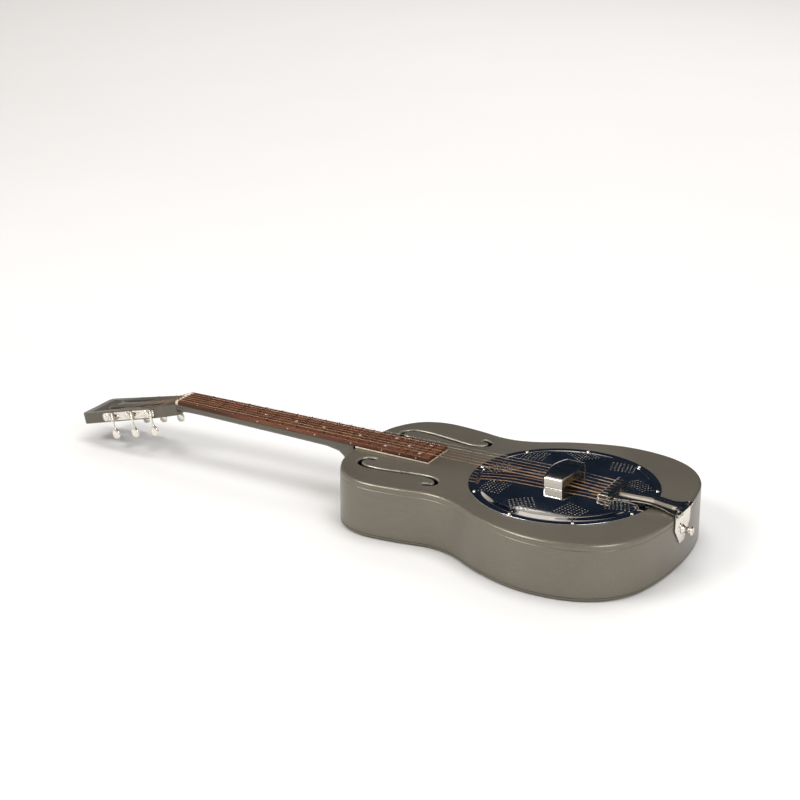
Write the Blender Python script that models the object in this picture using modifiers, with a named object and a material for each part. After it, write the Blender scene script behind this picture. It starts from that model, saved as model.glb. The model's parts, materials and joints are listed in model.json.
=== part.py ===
"""Metal-bodied resonator guitar with a single cone, a biscuit bridge and a 12-fret neck.

The guitar lies on its flat back: +Z is up, the length runs along X with the headstock at -X and
the strap button at +X, and the bass side is at -Y.  The origin is the middle of the bounding box,
on the plane that the back rests on.  Lengths along the guitar are measured from the nut's front
face and heights from the top's outer face; `place` turns both into the model's own frame.
"""
import math

import bmesh
import bpy
from mathutils import Matrix, Vector

MM = 0.001
GAP = 0.3 * MM                      # between pieces that touch
GLUE_GAP = 0.2 * MM                 # between flat pieces that are glued together

# Scale and neck
SCALE_LENGTH = 635.0 * MM
FRET_COUNT = 19
NUT_HALF_WIDTH = 22.1 * MM
LAST_FRET_HALF_WIDTH = 28.9 * MM
BOARD_THICKNESS = 6.0 * MM
BOARD_TOP_AT_NUT = 9.8 * MM         # height above the body's top face
BOARD_SLOPE = -1.0 / 423.0          # the board drops 1 mm from nut to last fret
BOARD_END = 437.0 * MM
NUT_LENGTH = 5.0 * MM
STRING_BOTTOM_AT_NUT = 11.0 * MM
STRING_BOTTOM_AT_SADDLE = 14.6 * MM
NECK_EDGE = 3.0 * MM                # straight side of the neck above its round back
NECK_STATIONS = (                   # (distance from nut, depth below the fingerboard)
    (-5.0, 16.8), (14.0, 15.0), (40.0, 14.6), (120.0, 15.6), (200.0, 16.8), (262.0, 18.0),
    (284.0, 23.0), (297.0, 40.0), (305.0, 60.0), (312.4, 68.0))

# Slotted headstock, in its own tilted plane; its long sides are straight and spread to the tip
HEAD_TILT = math.radians(14.0)
HEAD_LENGTH = 173.0 * MM
HEAD_THICKNESS = 17.0 * MM
HEAD_DROP = 0.5 * MM                # headstock face below the neck's top edge at the nut
HEAD_SHOULDER = (                   # curved part, (distance from the nut's rear, half width)
    (0.0, 22.0), (-8.0, 22.7), (-19.0, 26.0), (-33.0, 29.4))
HEAD_SPREAD = math.radians(3.5)
HEAD_CORNER = 6.0 * MM
SLOT_START = -24.0 * MM             # string slots, from the nut's rear
SLOT_END = -137.0 * MM
SLOT_WIDTH = 12.5 * MM
SLOT_INSET = 17.5 * MM              # slot's middle line, in from the headstock's side

# Body
BODY_DEPTH = 83.0 * MM
SHEET = 1.0 * MM
ROLL_RADIUS = 5.0 * MM              # rounded edge of the top and of the back
TOP_SKIRT = 9.0 * MM
BACK_SKIRT = 5.5 * MM
BODY_HEEL_X = 313.0 * MM
BODY_TAIL_X = 812.0 * MM
BODY_HALF_OUTLINE = (               # (distance from nut, half width), heel to tail
    (313.0, 0.0), (313.4, 30.0), (321.0, 74.0), (345.0, 112.0), (384.0, 129.5), (438.0, 127.0),
    (488.0, 119.5), (528.0, 128.0), (583.0, 156.5), (650.0, 177.0), (715.0, 174.5),
    (763.0, 153.0), (794.0, 114.0), (808.0, 60.0), (812.0, 0.0))
OUTLINE_STEPS = 2                   # points per span of the outline
F_HOLE_LINE = (                     # centre line of an f-hole on the treble side
    (360.0, 48.0), (351.0, 50.0), (345.5, 58.0), (348.0, 69.0), (360.0, 76.5), (382.0, 77.5),
    (411.0, 73.0), (436.0, 68.5), (456.0, 66.5), (469.0, 69.5), (477.5, 78.0), (476.0, 88.5),
    (465.0, 92.5))
F_HOLE_WIDTH = 6.0 * MM
F_HOLE_END_WIDTH = 8.0 * MM

# Resonator, all turned about the bridge axis
BRIDGE_X = 637.0 * MM
CONE_OPENING_RADIUS = 121.5 * MM
COVER_RADIUS = 133.5 * MM
COVER_SHEET = 0.8 * MM
COVER_CROWN = 8.6 * MM
COVER_SHOULDER = 4.0 * MM
COVER_SHOULDER_RADIUS = 121.0 * MM
COVER_SCREW_COUNT = 9
COVER_SCREW_CIRCLE = 128.3 * MM
COVER_SCREW_HOLE = 1.7 * MM
WELL_LEDGE_TOP = -23.5 * MM
WELL_SHEET = 1.0 * MM
CONE_SHEET = 0.7 * MM
CONE_TOP = -3.7 * MM
CONE_PROFILE = (                    # (radius, height) of the cone's upper surface
    (2.4, -3.7), (24.0, -3.7), (30.0, -5.4), (66.0, -12.8), (104.0, -20.6), (108.0, -22.0),
    (111.5, -19.4), (115.0, -22.4), (120.0, -22.4))
BISCUIT_RADIUS = 22.0 * MM
BISCUIT_THICKNESS = 8.0 * MM
SADDLE_THICKNESS = 3.0 * MM
SADDLE_HALF_WIDTH = 28.5 * MM
SADDLE_SLOT_DEPTH = 2.3 * MM

# Palm rest over the saddle
REST_SHEET = 1.5 * MM
REST_HALF_WIDTH = 38.0 * MM
REST_TOP = 26.5 * MM
REST_LEG_HALF_LENGTH = 13.5 * MM
REST_MID_HALF_LENGTH = 18.5 * MM

# Tailpiece, its hinge and the strap button
HINGE_X = 814.7 * MM
HINGE_Z = 2.6 * MM
KNUCKLE_RADIUS = 2.4 * MM
PIN_RADIUS = 1.1 * MM
PIN_BORE = 1.5 * MM
TONGUE_HALF_WIDTH = 11.5 * MM
HINGE_HALF_WIDTH = 26.0 * MM
TAIL_SHEET = 1.2 * MM
CROSSBAR_HALF_WIDTH = 35.0 * MM
STRAP_STATIONS = (                  # (distance, half width, height, ridge half width, ridge height)
    (719.0, 24.0, 8.5, 13.5, 1.2), (728.0, 22.0, 8.0, 14.0, 1.8), (742.0, 18.0, 7.8, 14.5, 2.2),
    (756.0, 15.8, 8.1, 14.3, 2.2), (770.0, 15.2, 8.2, 14.0, 2.0), (782.0, 15.8, 6.8, 13.8, 1.8),
    (792.0, 17.0, 5.3, 13.0, 1.8), (800.0, 20.0, 4.1, 11.5, 1.8), (806.0, 23.0, 3.9, 8.5, 1.4),
    (811.4, 26.0, 4.4, 3.0, 0.3))
BRACKET_X = 812.4 * MM
BRACKET_BOTTOM = -44.0 * MM
BUTTON_Z = -26.0 * MM
BUTTON_SCREW_RADIUS = 1.8 * MM
BUTTON_PROFILE = (                  # (radius, distance out from the bracket), outer end first
    (0.0, 15.1), (4.8, 15.1), (6.4, 13.9), (6.4, 12.0), (4.6, 10.4), (4.3, 4.2), (6.2, 1.6),
    (6.8, 0.3), (1.8, 0.3), (1.8, -19.0), (0.0, -19.0))

# Strings, bass to treble
STRING_DIAMETERS = (1.42, 1.17, 0.91, 0.66, 0.43, 0.33)
STRING_SPACING_NUT = 7.6 * MM
STRING_SPACING_SADDLE = 10.4 * MM
STRING_SPACING_TAIL = 10.2 * MM
STRING_REST = 0.15 * MM             # strings lie this far above the nut and the saddle

# Tuners: three to a plate on each side of the headstock, rollers across the slots.  In a
# tuner's frame Z runs in along the roller from the headstock's side and Y down to the button.
TUNERS_PER_SIDE = 3
TUNER_PITCH = 36.0 * MM
TUNER_MIDDLE = -86.0 * MM           # middle roller, from the nut's rear
ROLLER_DEPTH = 8.5 * MM             # roller axis below the headstock's face
ROLLER_RADIUS = 3.2 * MM
ROLLER_HOLE = 3.8 * MM
ROLLER_END = 28.0 * MM
ROLLER_WINDINGS = (15.5, 18.5, 20.5)  # where each string winds, in from the headstock's side
GEAR_TEETH = 14
GEAR_PITCH_RADIUS = 5.5 * MM
TOOTH_HALF_HEIGHT = 0.5 * MM
GEAR_THICKNESS = 2.8 * MM
GEAR_Z = -4.5 * MM                  # middle of the gear, and the worm's axis
WORM_CORE = 2.1 * MM
WORM_LENGTH = 8.0 * MM
WORM_CLEARANCE = 0.4 * MM
SHAFT_RADIUS = 1.35 * MM
EAR_OFFSET = 6.0 * MM
EAR_THICKNESS = 1.2 * MM
EAR_HOLE = 1.75 * MM
PLATE_HALF_WIDTH = 6.6 * MM
PLATE_END = 12.0 * MM               # plate beyond its end rollers
PLATE_SHEET = 1.2 * MM
KEY_BUTTON_BASE = 20.0 * MM         # from the roller's axis
KEY_BUTTON = (                      # (distance past the base, half length, half thickness)
    (-2.0, 1.35, 1.35), (-1.6, 2.6, 2.6), (0.0, 2.6, 2.6), (1.5, 5.6, 3.2), (6.0, 8.2, 3.9),
    (12.0, 7.8, 3.7), (15.5, 4.6, 2.2))

# The nut's place that centres the whole length on the origin
HEAD_TIP_X = -NUT_LENGTH - HEAD_LENGTH * math.cos(HEAD_TILT)
TAIL_END_X = BRACKET_X + TAIL_SHEET + BUTTON_PROFILE[0][1] * MM
NUT_X = -(HEAD_TIP_X + TAIL_END_X) / 2


def place(x, y, z):
    """Point at a distance x from the nut, y to the treble side, z above the body's top."""
    return Vector((x + NUT_X, y, z + BODY_DEPTH))


def clear_scene():
    for obj in list(bpy.data.objects):
        bpy.data.objects.remove(obj, do_unlink=True)


def new_collection(name):
    collection = bpy.data.collections.new(name)
    bpy.context.scene.collection.children.link(collection)
    return collection


def make_material(name, color, roughness, metallic):
    material = bpy.data.materials.new(name)
    material.use_nodes = True
    shader = material.node_tree.nodes["Principled BSDF"]
    shader.inputs["Base Color"].default_value = (*color, 1.0)
    shader.inputs["Roughness"].default_value = roughness
    shader.inputs["Metallic"].default_value = metallic
    material.diffuse_color = (*color, 1.0)
    return material


MATERIAL_LOOKS = {                  # colour, roughness, metallic
    "body_finish": ((0.125, 0.115, 0.085), 0.38, 0.85),
    "nickel": ((0.66, 0.63, 0.58), 0.14, 1.0),
    "chrome": ((0.62, 0.62, 0.62), 0.06, 1.0),
    "steel": ((0.42, 0.42, 0.42), 0.32, 1.0),
    "spun_aluminium": ((0.70, 0.70, 0.69), 0.34, 1.0),
    "maple": ((0.58, 0.40, 0.22), 0.45, 0.0),
    "padauk": ((0.19, 0.055, 0.022), 0.42, 0.0),
    "ivory": ((0.66, 0.56, 0.40), 0.35, 0.0),
    "fret_wire": ((0.70, 0.68, 0.63), 0.20, 1.0),
    "plain_string": ((0.62, 0.60, 0.56), 0.25, 1.0),
    "wound_string": ((0.50, 0.30, 0.16), 0.30, 1.0),
}


def finish(obj, look, collection):
    """Link an object, give it a material of its own and shade it smooth up to 35 degrees."""
    if obj.name not in collection.objects:
        collection.objects.link(obj)
    color, roughness, metallic = MATERIAL_LOOKS[look]
    obj.data.materials.clear()
    obj.data.materials.append(make_material(obj.name + "_" + look, color, roughness, metallic))
    if obj.type == "MESH":
        obj.data.shade_smooth()
        obj.data.set_sharp_from_angle(angle=math.radians(35.0))
    return obj


def new_object(name, bm):
    mesh = bpy.data.meshes.new(name)
    bm.to_mesh(mesh)
    bm.free()
    return bpy.data.objects.new(name, mesh)


def box(name, size, centre, rotation=Matrix()):
    bm = bmesh.new()
    bmesh.ops.create_cube(bm, size=1.0)
    bmesh.ops.scale(bm, vec=Vector(size), verts=bm.verts)
    obj = new_object(name, bm)
    obj.matrix_world = Matrix.Translation(centre) @ rotation
    return obj


def cylinder(name, radius, length, centre, rotation=Matrix(), sides=16):
    bm = bmesh.new()
    bmesh.ops.create_cone(bm, cap_ends=True, segments=sides, radius1=radius, radius2=radius,
                          depth=length)
    obj = new_object(name, bm)
    obj.matrix_world = Matrix.Translation(centre) @ rotation
    return obj


def turned(name, profile, matrix, steps, closed=False):
    """A (radius, height) profile in metres, outer side running down, turned about local Z."""
    bm = bmesh.new()
    verts = [bm.verts.new((radius, 0.0, height)) for radius, height in profile]
    pairs = list(zip(verts, verts[1:]))
    if closed:
        pairs.append((verts[-1], verts[0]))
    for first, second in pairs:
        bm.edges.new((first, second))
    obj = new_object(name, bm)
    screw = obj.modifiers.new("turn", "SCREW")
    screw.steps = steps
    screw.render_steps = steps
    screw.use_merge_vertices = True
    screw.merge_threshold = 0.00001
    obj.matrix_world = matrix
    return obj


def solidify(obj, thickness, offset=-1.0):
    modifier = obj.modifiers.new("sheet", "SOLIDIFY")
    modifier.thickness = thickness
    modifier.offset = offset
    modifier.use_even_offset = True


def bevel(obj, width, segments=2):
    modifier = obj.modifiers.new("edges", "BEVEL")
    modifier.width = width
    modifier.segments = segments
    modifier.limit_method = "ANGLE"
    modifier.angle_limit = math.radians(50.0)


def boolean(obj, other, operation):
    """Cut a helper object out of obj, or join it on; the helper moves to the cutters."""
    CUTTERS.objects.link(other)
    other.hide_render = True
    other.display_type = "WIRE"
    modifier = obj.modifiers.new(operation.lower(), "BOOLEAN")
    modifier.operation = operation
    modifier.solver = "EXACT"
    modifier.object = other


def cut(obj, other):
    boolean(obj, other, "DIFFERENCE")


def join(obj, other):
    boolean(obj, other, "UNION")


def as_mesh(curve_object):
    """The curve's evaluated shape as a welded mesh object in the same place."""
    bpy.context.scene.collection.objects.link(curve_object)
    bpy.context.view_layer.update()
    evaluated = curve_object.evaluated_get(bpy.context.evaluated_depsgraph_get())
    mesh = bpy.data.meshes.new_from_object(evaluated)
    bm = bmesh.new()
    bm.from_mesh(mesh)
    bmesh.ops.remove_doubles(bm, verts=bm.verts, dist=0.000001)
    bmesh.ops.recalc_face_normals(bm, faces=bm.faces)
    bm.to_mesh(mesh)
    bm.free()
    name = curve_object.name
    matrix = curve_object.matrix_world.copy()
    bpy.data.objects.remove(curve_object, do_unlink=True)
    obj = bpy.data.objects.new(name, mesh)
    obj.matrix_world = matrix
    return obj


def flat_piece(name, outline, thickness, matrix):
    """An outline in local XY, filled and extruded to a thickness about local Z = 0."""
    curve = bpy.data.curves.new(name, "CURVE")
    curve.dimensions = "2D"
    curve.fill_mode = "BOTH"
    curve.extrude = thickness / 2
    spline = curve.splines.new("POLY")
    spline.points.add(len(outline) - 1)
    for point, (x, y) in zip(spline.points, outline):
        point.co = (x, y, 0.0, 1.0)
    spline.use_cyclic_u = True
    obj = bpy.data.objects.new(name, curve)
    obj.matrix_world = matrix
    return as_mesh(obj)


def loft(name, sections):
    """A closed solid through rings of points that all have the same count."""
    bm = bmesh.new()
    rings = [[bm.verts.new(point) for point in section] for section in sections]
    count = len(rings[0])
    for ring, following in zip(rings, rings[1:]):
        for i in range(count):
            j = (i + 1) % count
            bm.faces.new((ring[i], ring[j], following[j], following[i]))
    bm.faces.new(rings[0][::-1])
    bm.faces.new(rings[-1])
    bmesh.ops.recalc_face_normals(bm, faces=bm.faces)
    return new_object(name, bm)


def sheet(name, rows):
    """An open surface through rows of points that all have the same count, facing up."""
    bm = bmesh.new()
    grid = [[bm.verts.new(point) for point in row] for row in rows]
    for row, following in zip(grid, grid[1:]):
        for i in range(len(row) - 1):
            bm.faces.new((row[i], following[i], following[i + 1], row[i + 1]))
    return new_object(name, bm)


def smooth_line(points, steps):
    """A Catmull-Rom curve through an open list of points."""
    padded = [points[0], *points, points[-1]]
    line = []
    for p0, p1, p2, p3 in zip(padded, padded[1:], padded[2:], padded[3:]):
        for k in range(steps):
            t = k / steps
            line.append(tuple(
                0.5 * (2 * b + (c - a) * t + (2 * a - 5 * b + 4 * c - d) * t * t
                       + (3 * b - a - 3 * c + d) * t ** 3)
                for a, b, c, d in zip(p0, p1, p2, p3)))
    line.append(tuple(points[-1]))
    return line


def millimetres(points):
    return [tuple(value * MM for value in point) for point in points]


def body_outline():
    """The body's closed outline in metres, anticlockwise seen from above."""
    half = millimetres(BODY_HALF_OUTLINE)
    mirrored = [(x, -y) for x, y in half[-2:0:-1]]
    ring = half + mirrored
    line = smooth_line([ring[-1], *ring, ring[0], ring[1]], OUTLINE_STEPS)
    first = OUTLINE_STEPS
    return line[first:first + len(ring) * OUTLINE_STEPS][::-1]


def inset(outline, distance):
    """The closed outline moved inwards by a distance."""
    moved = []
    for i, (x, y) in enumerate(outline):
        before = Vector(outline[i - 1])
        after = Vector(outline[(i + 1) % len(outline)])
        along = (after - before).normalized()
        moved.append((x - along.y * distance, y + along.x * distance))
    return moved


def f_hole_outline(side):
    """Outline of an f-hole on the treble (1) or bass (-1) side; its ends are wider and round."""
    line = [Vector((x, side * y)) for x, y in smooth_line(millimetres(F_HOLE_LINE), 2)]
    left, right = [], []
    for i, point in enumerate(line):
        before = line[max(i - 1, 0)]
        after = line[min(i + 1, len(line) - 1)]
        along = (after - before).normalized()
        across = Vector((-along.y, along.x))
        near_end = max(0.0, 1.0 - 0.4 * min(i, len(line) - 1 - i))
        half = (F_HOLE_WIDTH + (F_HOLE_END_WIDTH - F_HOLE_WIDTH) * near_end) / 2
        left.append(point + across * half)
        right.append(point - across * half)
    start_cap = line[0] + (line[0] - line[1]).normalized() * F_HOLE_END_WIDTH / 2.5
    end_cap = line[-1] + (line[-1] - line[-2]).normalized() * F_HOLE_END_WIDTH / 2.5
    return [tuple(p) for p in [*left, end_cap, *right[::-1], start_cap]]


def body_plate(name, face_z, toward, skirt):
    """A pressed sheet with a rounded edge and a skirt; toward is -1 for the top, 1 for the back."""
    outline = body_outline()
    rings = []
    roll_steps = 2
    for step in range(roll_steps + 1):
        angle = math.pi / 2 * step / roll_steps
        rings.append((ROLL_RADIUS * (1 - math.sin(angle)),
                      face_z + toward * ROLL_RADIUS * (1 - math.cos(angle))))
    rings.append((0.0, face_z + toward * skirt))
    bm = bmesh.new()
    loops = [[bm.verts.new(place(x, y, z)) for x, y in inset(outline, distance)]
             for distance, z in rings]
    bm.faces.new(loops[0] if toward < 0 else loops[0][::-1])
    for upper, lower in zip(loops, loops[1:]):
        for i, vert in enumerate(upper):
            j = (i + 1) % len(upper)
            corners = (vert, lower[i], lower[j], upper[j])
            bm.faces.new(corners if toward < 0 else corners[::-1])
    obj = new_object(name, bm)
    solidify(obj, SHEET)
    return obj


def bridge_matrix(z=0.0):
    return Matrix.Translation(place(BRIDGE_X, 0.0, z))


def make_body():
    top = body_plate("body_top", 0.0, -1, TOP_SKIRT)
    cut(top, cylinder("cone_opening", CONE_OPENING_RADIUS, 6 * MM, place(BRIDGE_X, 0, 0), sides=48))
    for side, label in ((1, "treble"), (-1, "bass")):
        outline = [tuple(place(x, y, 0.0).xy) for x, y in f_hole_outline(side)]
        cut(top, flat_piece("f_hole_" + label, outline, 6 * MM,
                            Matrix.Translation((0, 0, BODY_DEPTH))))
    for angle in screw_angles():
        centre = place(BRIDGE_X + COVER_SCREW_CIRCLE * math.cos(angle),
                       COVER_SCREW_CIRCLE * math.sin(angle), 0.0)
        cut(top, cylinder("top_screw_hole", COVER_SCREW_HOLE, 6 * MM, centre, sides=6))
    finish(top, "body_finish", GUITAR)

    finish(body_plate("body_back", -BODY_DEPTH, 1, BACK_SKIRT), "body_finish", GUITAR)

    outline = body_outline()
    upper = -TOP_SKIRT - GAP
    lower = -BODY_DEPTH + BACK_SKIRT + GAP
    rows = [[place(x, y, z) for x, y in outline + outline[:1]] for z in (upper, lower)]
    sides = sheet("body_sides", rows)
    bm = bmesh.new()
    bm.from_mesh(sides.data)
    bmesh.ops.remove_doubles(bm, verts=bm.verts, dist=0.000001)
    bm.to_mesh(sides.data)
    bm.free()
    solidify(sides, SHEET)
    cut(sides, cylinder("button_screw_hole", 2.4 * MM, 8 * MM, place(BODY_TAIL_X, 0, BUTTON_Z),
                        Matrix.Rotation(math.pi / 2, 4, "Y"), sides=10))
    finish(sides, "body_finish", GUITAR)


def screw_angles():
    return [math.pi + 2 * math.pi * k / COVER_SCREW_COUNT for k in range(COVER_SCREW_COUNT)]


def make_resonator():
    ledge = WELL_LEDGE_TOP
    wall = CONE_OPENING_RADIUS
    flange_top = -SHEET - GAP
    well_profile = [
        (wall + WELL_SHEET + 4 * MM, flange_top), (wall + WELL_SHEET + 4 * MM, flange_top - WELL_SHEET),
        (wall + WELL_SHEET, flange_top - WELL_SHEET), (wall + WELL_SHEET, ledge - WELL_SHEET),
        (112 * MM, ledge - WELL_SHEET), (112 * MM, ledge), (wall, ledge), (wall, flange_top)]
    finish(turned("cone_well", well_profile, bridge_matrix(), 32, closed=True), "steel", GUITAR)

    cone = turned("resonator_cone", millimetres(CONE_PROFILE), bridge_matrix(), 32)
    solidify(cone, CONE_SHEET)
    finish(cone, "spun_aluminium", GUITAR)

    bottom = CONE_TOP + GAP
    crown = bottom + BISCUIT_THICKNESS
    biscuit_profile = [(0.0, crown), (BISCUIT_RADIUS - 1 * MM, crown), (BISCUIT_RADIUS, crown - 1 * MM),
                       (BISCUIT_RADIUS, bottom), (0.0, bottom)]
    biscuit = turned("bridge_biscuit", biscuit_profile, bridge_matrix(), 20)
    cut(biscuit, box("saddle_slot", (SADDLE_THICKNESS + 2 * GLUE_GAP, 60 * MM, 2 * SADDLE_SLOT_DEPTH),
                     place(BRIDGE_X, 0, crown)))
    cut(biscuit, cylinder("screw_bore", 1.9 * MM, 8 * MM, place(BRIDGE_X, 0, bottom), sides=10))
    finish(biscuit, "maple", GUITAR)

    head = CONE_TOP - CONE_SHEET - GAP
    screw_profile = [(0.0, head + 4.4 * MM), (1.5 * MM, head + 3.4 * MM), (1.5 * MM, head),
                     (4.0 * MM, head), (3.4 * MM, head - 1.6 * MM), (0.0, head - 2.2 * MM)]
    finish(turned("biscuit_screw", screw_profile, bridge_matrix(), 12), "steel", GUITAR)

    saddle_bottom = crown - SADDLE_SLOT_DEPTH + GLUE_GAP
    saddle_top = STRING_BOTTOM_AT_SADDLE - STRING_REST
    half = SADDLE_HALF_WIDTH
    outline = [(-half, saddle_bottom), (half, saddle_bottom), (half, saddle_top - 3 * MM),
               (half - 2 * MM, saddle_top), (2 * MM - half, saddle_top), (-half, saddle_top - 3 * MM)]
    upright = Matrix.Rotation(math.pi / 2, 4, "Z") @ Matrix.Rotation(math.pi / 2, 4, "X")
    saddle = flat_piece("bridge_saddle", outline, SADDLE_THICKNESS, bridge_matrix() @ upright)
    finish(saddle, "maple", GUITAR)


def cover_height(radius):
    """Height of the coverplate's upper face inside its shoulder."""
    drop = COVER_CROWN - COVER_SHOULDER
    return COVER_CROWN - drop * (radius / COVER_SHOULDER_RADIUS) ** 3


def make_cover():
    flange = GAP + COVER_SHEET
    profile = [(r * MM, cover_height(r * MM)) for r in (0, 45, 80, 105, 117)]
    profile += [(COVER_SHOULDER_RADIUS, COVER_SHOULDER - 0.6 * MM), (123 * MM, flange + 0.9 * MM),
                (124.6 * MM, flange), (COVER_RADIUS, flange)]
    cover = turned("coverplate", profile, bridge_matrix(), 42)
    solidify(cover, COVER_SHEET)
    cut(cover, box("saddle_opening", (22 * MM, 62 * MM, 20 * MM), place(BRIDGE_X, 0, COVER_CROWN)))
    for angle in screw_angles():
        centre = place(BRIDGE_X + COVER_SCREW_CIRCLE * math.cos(angle),
                       COVER_SCREW_CIRCLE * math.sin(angle), flange)
        cut(cover, cylinder("cover_screw_hole", COVER_SCREW_HOLE, 6 * MM, centre, sides=6))
    finish(cover, "chrome", GUITAR)

    foot = cover_height(REST_HALF_WIDTH) + GAP
    corner = 4.0 * MM
    path = [(REST_HALF_WIDTH, foot), (REST_HALF_WIDTH, REST_TOP - corner - 2 * MM)]
    for k in range(1, 4):
        angle = math.pi / 2 * k / 3
        path.append((REST_HALF_WIDTH - corner * (1 - math.cos(angle)),
                     REST_TOP - 2 * MM - corner * (1 - math.sin(angle))))
    path += [(20 * MM, REST_TOP - 0.8 * MM), (8 * MM, REST_TOP)]
    whole = path + [(-y, z) for y, z in reversed(path)]
    rows = []
    for y, z in whole:
        spread = math.cos(math.pi / 2 * abs(y) / REST_HALF_WIDTH)
        half = REST_LEG_HALF_LENGTH + (REST_MID_HALF_LENGTH - REST_LEG_HALF_LENGTH) * spread
        rows.append([place(BRIDGE_X + s * half, y, z) for s in (-1.0, -0.75, 0.0, 0.75, 1.0)])
    rest = sheet("palm_rest", rows)
    solidify(rest, REST_SHEET)
    finish(rest, "nickel", GUITAR)


def make_tailpiece():
    rows = []
    for x, half, z, ridge_half, ridge in millimetres(STRAP_STATIONS):
        row = []
        for y in (-half, -ridge_half, -0.6 * ridge_half, -0.2 * ridge_half,
                  0.2 * ridge_half, 0.6 * ridge_half, ridge_half, half):
            arch = max(0.0, 1.0 - (y / ridge_half) ** 2)
            row.append(place(x, y, z + ridge * arch))
        rows.append(row)
    strap = sheet("tailpiece", rows)
    solidify(strap, TAIL_SHEET, offset=0.0)

    nose = 2.65 * MM
    nose_x, nose_z = 705.0 * MM, 11.35 * MM
    fold = [(727.0 * MM, nose_z - nose)]
    for k in range(7):
        angle = math.radians(-90.0 - 30.0 * k)
        fold.append((nose_x + nose * math.cos(angle), nose_z + nose * math.sin(angle)))
    fold += [(716.0 * MM, nose_z + nose), (720.5 * MM, nose_z + 1.2 * MM)]
    wide = CROSSBAR_HALF_WIDTH
    bar = sheet("crossbar", [[place(x, wide, z), place(x, -wide, z)] for x, z in fold])
    solidify(bar, TAIL_SHEET, offset=0.0)
    for index in range(len(STRING_DIAMETERS)):
        y = string_y(index, STRING_SPACING_TAIL)
        slot = box("string_slot", (13 * MM, 2.6 * MM, 6 * MM), place(706.5 * MM, y, 13.4 * MM))
        cut(bar, slot)
    trimmed = box("crossbar_trim", (14 * MM, 80 * MM, 6 * MM), place(729.0 * MM, 0, 8.7 * MM))
    cut(bar, trimmed)
    join(strap, bar)

    across = Matrix.Rotation(math.pi / 2, 4, "X")
    join(strap, box("hinge_tongue", (6.0 * MM, 2 * TONGUE_HALF_WIDTH, TAIL_SHEET),
                    place(HINGE_X - 2.6 * MM, 0, 4.35 * MM)))
    join(strap, cylinder("tongue_knuckle", KNUCKLE_RADIUS, 2 * TONGUE_HALF_WIDTH,
                         place(HINGE_X, 0, HINGE_Z), across))
    cut(strap, cylinder("tongue_bore", PIN_BORE, 30 * MM, place(HINGE_X, 0, HINGE_Z), across, 12))
    finish(strap, "nickel", GUITAR)

    inner = TONGUE_HALF_WIDTH + GAP
    side_length = HINGE_HALF_WIDTH - inner
    width = 2 * HINGE_HALF_WIDTH
    top_z = HINGE_Z
    outline = [(-width / 2, top_z), (-width / 2, -20 * MM), (-8 * MM, BRACKET_BOTTOM),
               (8 * MM, BRACKET_BOTTOM), (width / 2, -20 * MM), (width / 2, top_z)]
    upright = Matrix.Rotation(math.pi / 2, 4, "Z") @ Matrix.Rotation(math.pi / 2, 4, "X")
    seat = Matrix.Translation(place(BRACKET_X + TAIL_SHEET / 2, 0, 0))
    bracket = flat_piece("tailpiece_bracket", outline, TAIL_SHEET, seat @ upright)
    for side in (-1, 1):
        centre = place(HINGE_X, side * (inner + side_length / 2), HINGE_Z)
        join(bracket, cylinder("bracket_knuckle", KNUCKLE_RADIUS, side_length, centre, across))
    cut(bracket, box("knuckle_notch", (8 * MM, 2 * inner, 10 * MM), place(HINGE_X, 0, 4.6 * MM)))
    cut(bracket, cylinder("bracket_bore", PIN_BORE, 60 * MM, place(HINGE_X, 0, HINGE_Z), across, 12))
    cut(bracket, cylinder("bracket_screw_hole", 2.4 * MM, 8 * MM, place(BRACKET_X, 0, BUTTON_Z),
                          Matrix.Rotation(math.pi / 2, 4, "Y"), 10))
    finish(bracket, "nickel", GUITAR)

    pin = cylinder("tailpiece_pin", PIN_RADIUS, 2 * HINGE_HALF_WIDTH + 1 * MM,
                   place(HINGE_X, 0, HINGE_Z), across, 10)
    finish(pin, "steel", GUITAR)

    outward = Matrix.Rotation(math.pi / 2, 4, "Y")
    base = Matrix.Translation(place(BRACKET_X + TAIL_SHEET, 0, BUTTON_Z))
    finish(turned("strap_button", millimetres(BUTTON_PROFILE), base @ outward, 16), "nickel", GUITAR)


def board_top(x):
    return BOARD_TOP_AT_NUT + BOARD_SLOPE * x


def board_half_width(x):
    last = fret_x(FRET_COUNT)
    return NUT_HALF_WIDTH + (LAST_FRET_HALF_WIDTH - NUT_HALF_WIDTH) * x / last


def fret_x(number):
    return SCALE_LENGTH * (1 - 2 ** (-number / 12))


def board_tilt():
    return Matrix.Rotation(-math.atan(BOARD_SLOPE), 4, "Y")


def neck_section(x, depth):
    """D-shaped section: flat under the fingerboard, straight edges, round back."""
    half = board_half_width(max(x, 0.0))
    flat = board_top(x) - BOARD_THICKNESS - GLUE_GAP
    points = [place(x, half, flat)]
    for k in range(11):
        angle = math.pi * k / 10
        points.append(place(x, half * math.cos(angle),
                            flat - NECK_EDGE - (depth - NECK_EDGE) * math.sin(angle)))
    points.append(place(x, -half, flat))
    return points


def head_frame():
    """The headstock's plane: X towards the nut, Z out of its face, origin at the nut's rear."""
    top = BOARD_TOP_AT_NUT - BOARD_THICKNESS - HEAD_DROP
    return Matrix.Translation(place(-NUT_LENGTH, 0, top)) @ Matrix.Rotation(-HEAD_TILT, 4, "Y")


def head_half_width(x):
    """Half width of the headstock's straight part."""
    start, half = HEAD_SHOULDER[-1]
    return half * MM + (start * MM - x) * math.tan(HEAD_SPREAD)


def side_frame(side, x, depth):
    """Frame on a long side of the headstock: Z inwards, Y away from its face."""
    inwards = Matrix(((-side, 0, 0, 0), (0, 0, -side, 0), (0, -1, 0, 0), (0, 0, 0, 1)))
    return (head_frame() @ Matrix.Translation((x, side * head_half_width(x), -depth))
            @ Matrix.Rotation(-side * HEAD_SPREAD, 4, "Z") @ inwards)


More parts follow.
